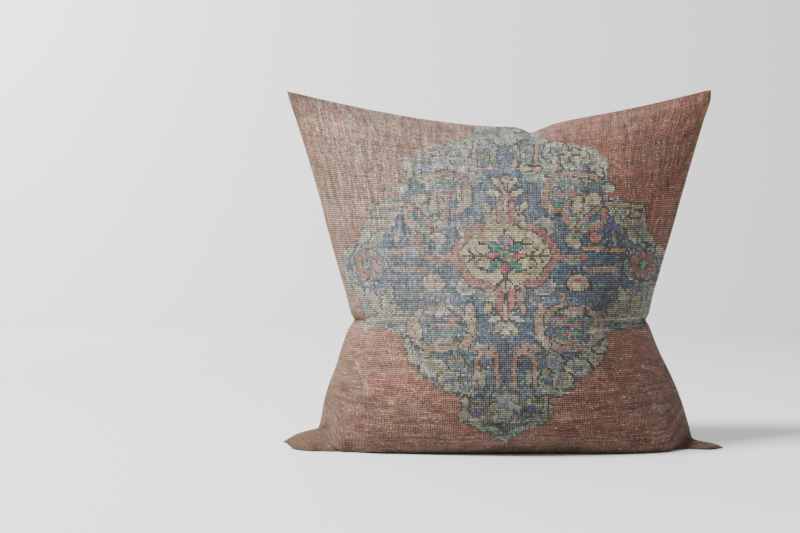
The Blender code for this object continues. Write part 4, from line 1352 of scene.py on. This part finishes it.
def dress_pillow():
    """All the pieces of the pillow, and the zip's tapes, stops, slider and pull tab in new materials."""
    canvas = plain_woven_cloth(
        "cotton_canvas_plain_woven", "#8a5d46", "#48291f", threads=420, roughness=0.9, bump_mm=0.45
    )
    calico = plain_woven_cloth(
        "cotton_calico_plain_woven", "#cfc6b2", "#b3a88f", threads=700, roughness=0.9, bump_mm=0.2
    )
    thread = spun_thread("spun_polyester_thread", "#8e5a48")
    nylon = spun_thread("nylon_coil_moulded", "#6b4234", 0.42)
    brass = metal_plate("antique_brass_plated_zinc", "#a8854f", "#57401f")

    front = dress(rug_front(), worn_wool_pile(), "cover", "rug", "front_panel", "perimeter_seam_thread")
    back_moves = settle(1)
    lower = canvas_back(
        "canvas_back_lower",
        back_moves,
        60,
        lambda across: across * 0.0,
        lambda across: level_at(ZIP_HEIGHT - window_edge(across)),
    )
    upper = canvas_back(
        "canvas_back_upper",
        back_moves,
        120,
        lambda across: level_at(ZIP_HEIGHT + window_edge(across)),
        lambda across: across * 0.0 + 1.0,
    )
    for panel, node, share in ((lower, "back_panel_lower", 0.27), (upper, "back_panel_upper", 0.73)):
        dress(panel, canvas, "cover", "canvas", node)
    insert = dress(
        pillow_insert(), calico, "cover", "casing", "insert_casing_front", "insert_casing_back", "insert_fill"
    )
    label = dress(care_label(), ribbon_satin(), "cover", "label", "care_label")

    for sign, which in ((1, "upper"), (-1, "lower")):
        dress(zip_stitches(sign), thread, "cover", "thread", "zipper_stitching_" + which)
        dress(coil_turns(sign), nylon, "cover", "zip_coil", "zipper_coil_" + which)
    for sign, end in ((-1, "closed_end"), (1, "open_end")):
        tack = bar_tack("bar_tack_" + end, sign * (ZIP_HALF + 0.0125))
        dress(tack, thread, "cover", "thread", "zipper_bar_tack_" + end)
    tape = woven_tape()
    for node in ("zipper_tape_upper", "zipper_tape_lower"):
        frame["nodes"][node].data.materials[0] = tape
    for node in (
        "zipper_slider",
        "zipper_pull",
        "zipper_bottom_stop",
        "zipper_top_stop_upper",
        "zipper_top_stop_lower",
    ):
        frame["nodes"][node].data.materials[0] = brass


# The stage

FLOOR_SIZE = (8.0, 6.0)
BACKDROP_SIZE = (8.0, 4.0)
BACKDROP_PLACE = (0.0, 2.9, 1.9)


def stage():
    """A pale floor, a backdrop far behind, a camera in front and soft window light from the left."""
    scene = bpy.context.scene
    bpy.ops.mesh.primitive_plane_add(size=1.0)
    floor = bpy.context.object
    floor.name = "studio_floor"
    floor.data.transform(Matrix.Diagonal((*FLOOR_SIZE, 1.0, 1.0)))
    white, _, shader = new_material("matt_white_floor", 0.75)
    shader.inputs["Base Color"].default_value = (0.86, 0.86, 0.86, 1.0)
    floor.data.materials.append(white)
    bpy.ops.mesh.primitive_plane_add(size=1.0)
    backdrop = bpy.context.object
    backdrop.name = "studio_backdrop"
    backdrop.data.transform(Matrix.Diagonal((*BACKDROP_SIZE, 1.0, 1.0)))
    backdrop.data.transform(Matrix.Rotation(math.radians(90.0), 4, "X"))
    backdrop.data.transform(Matrix.Translation(BACKDROP_PLACE))
    backdrop.data.materials.append(white)

    camera = bpy.data.objects.new("camera", bpy.data.cameras.new("camera"))
    camera.data.lens = 60.0
    camera.data.sensor_width = 36.0
    camera.location = CHART_EYE
    camera.rotation_euler = (math.radians(90.0), 0.0, 0.0)
    scene.collection.objects.link(camera)
    scene.camera = camera

    world = bpy.data.worlds.new("studio")
    world.use_nodes = True
    world.node_tree.nodes["Background"].inputs["Color"].default_value = (1.0, 1.0, 1.0, 1.0)
    world.node_tree.nodes["Background"].inputs["Strength"].default_value = 0.44
    scene.world = world
    for name, place, aim, size, power in (
        ("key_window", (-2.1, -0.95, 2.7), (0.0, 0.0, 0.2), 1.1, 290.0),
        ("backdrop_wash", (-2.2, 1.9, 1.7), (-1.3, 2.9, 0.8), 1.0, 56.0),
    ):
        light = bpy.data.objects.new(name, bpy.data.lights.new(name, "AREA"))
        light.data.shape = "SQUARE"
        light.data.size = size
        light.data.energy = power
        light.location = place
        light.rotation_euler = (Vector(aim) - Vector(place)).to_track_quat("-Z", "Y").to_euler()
        scene.collection.objects.link(light)


dress_pillow()
stage()
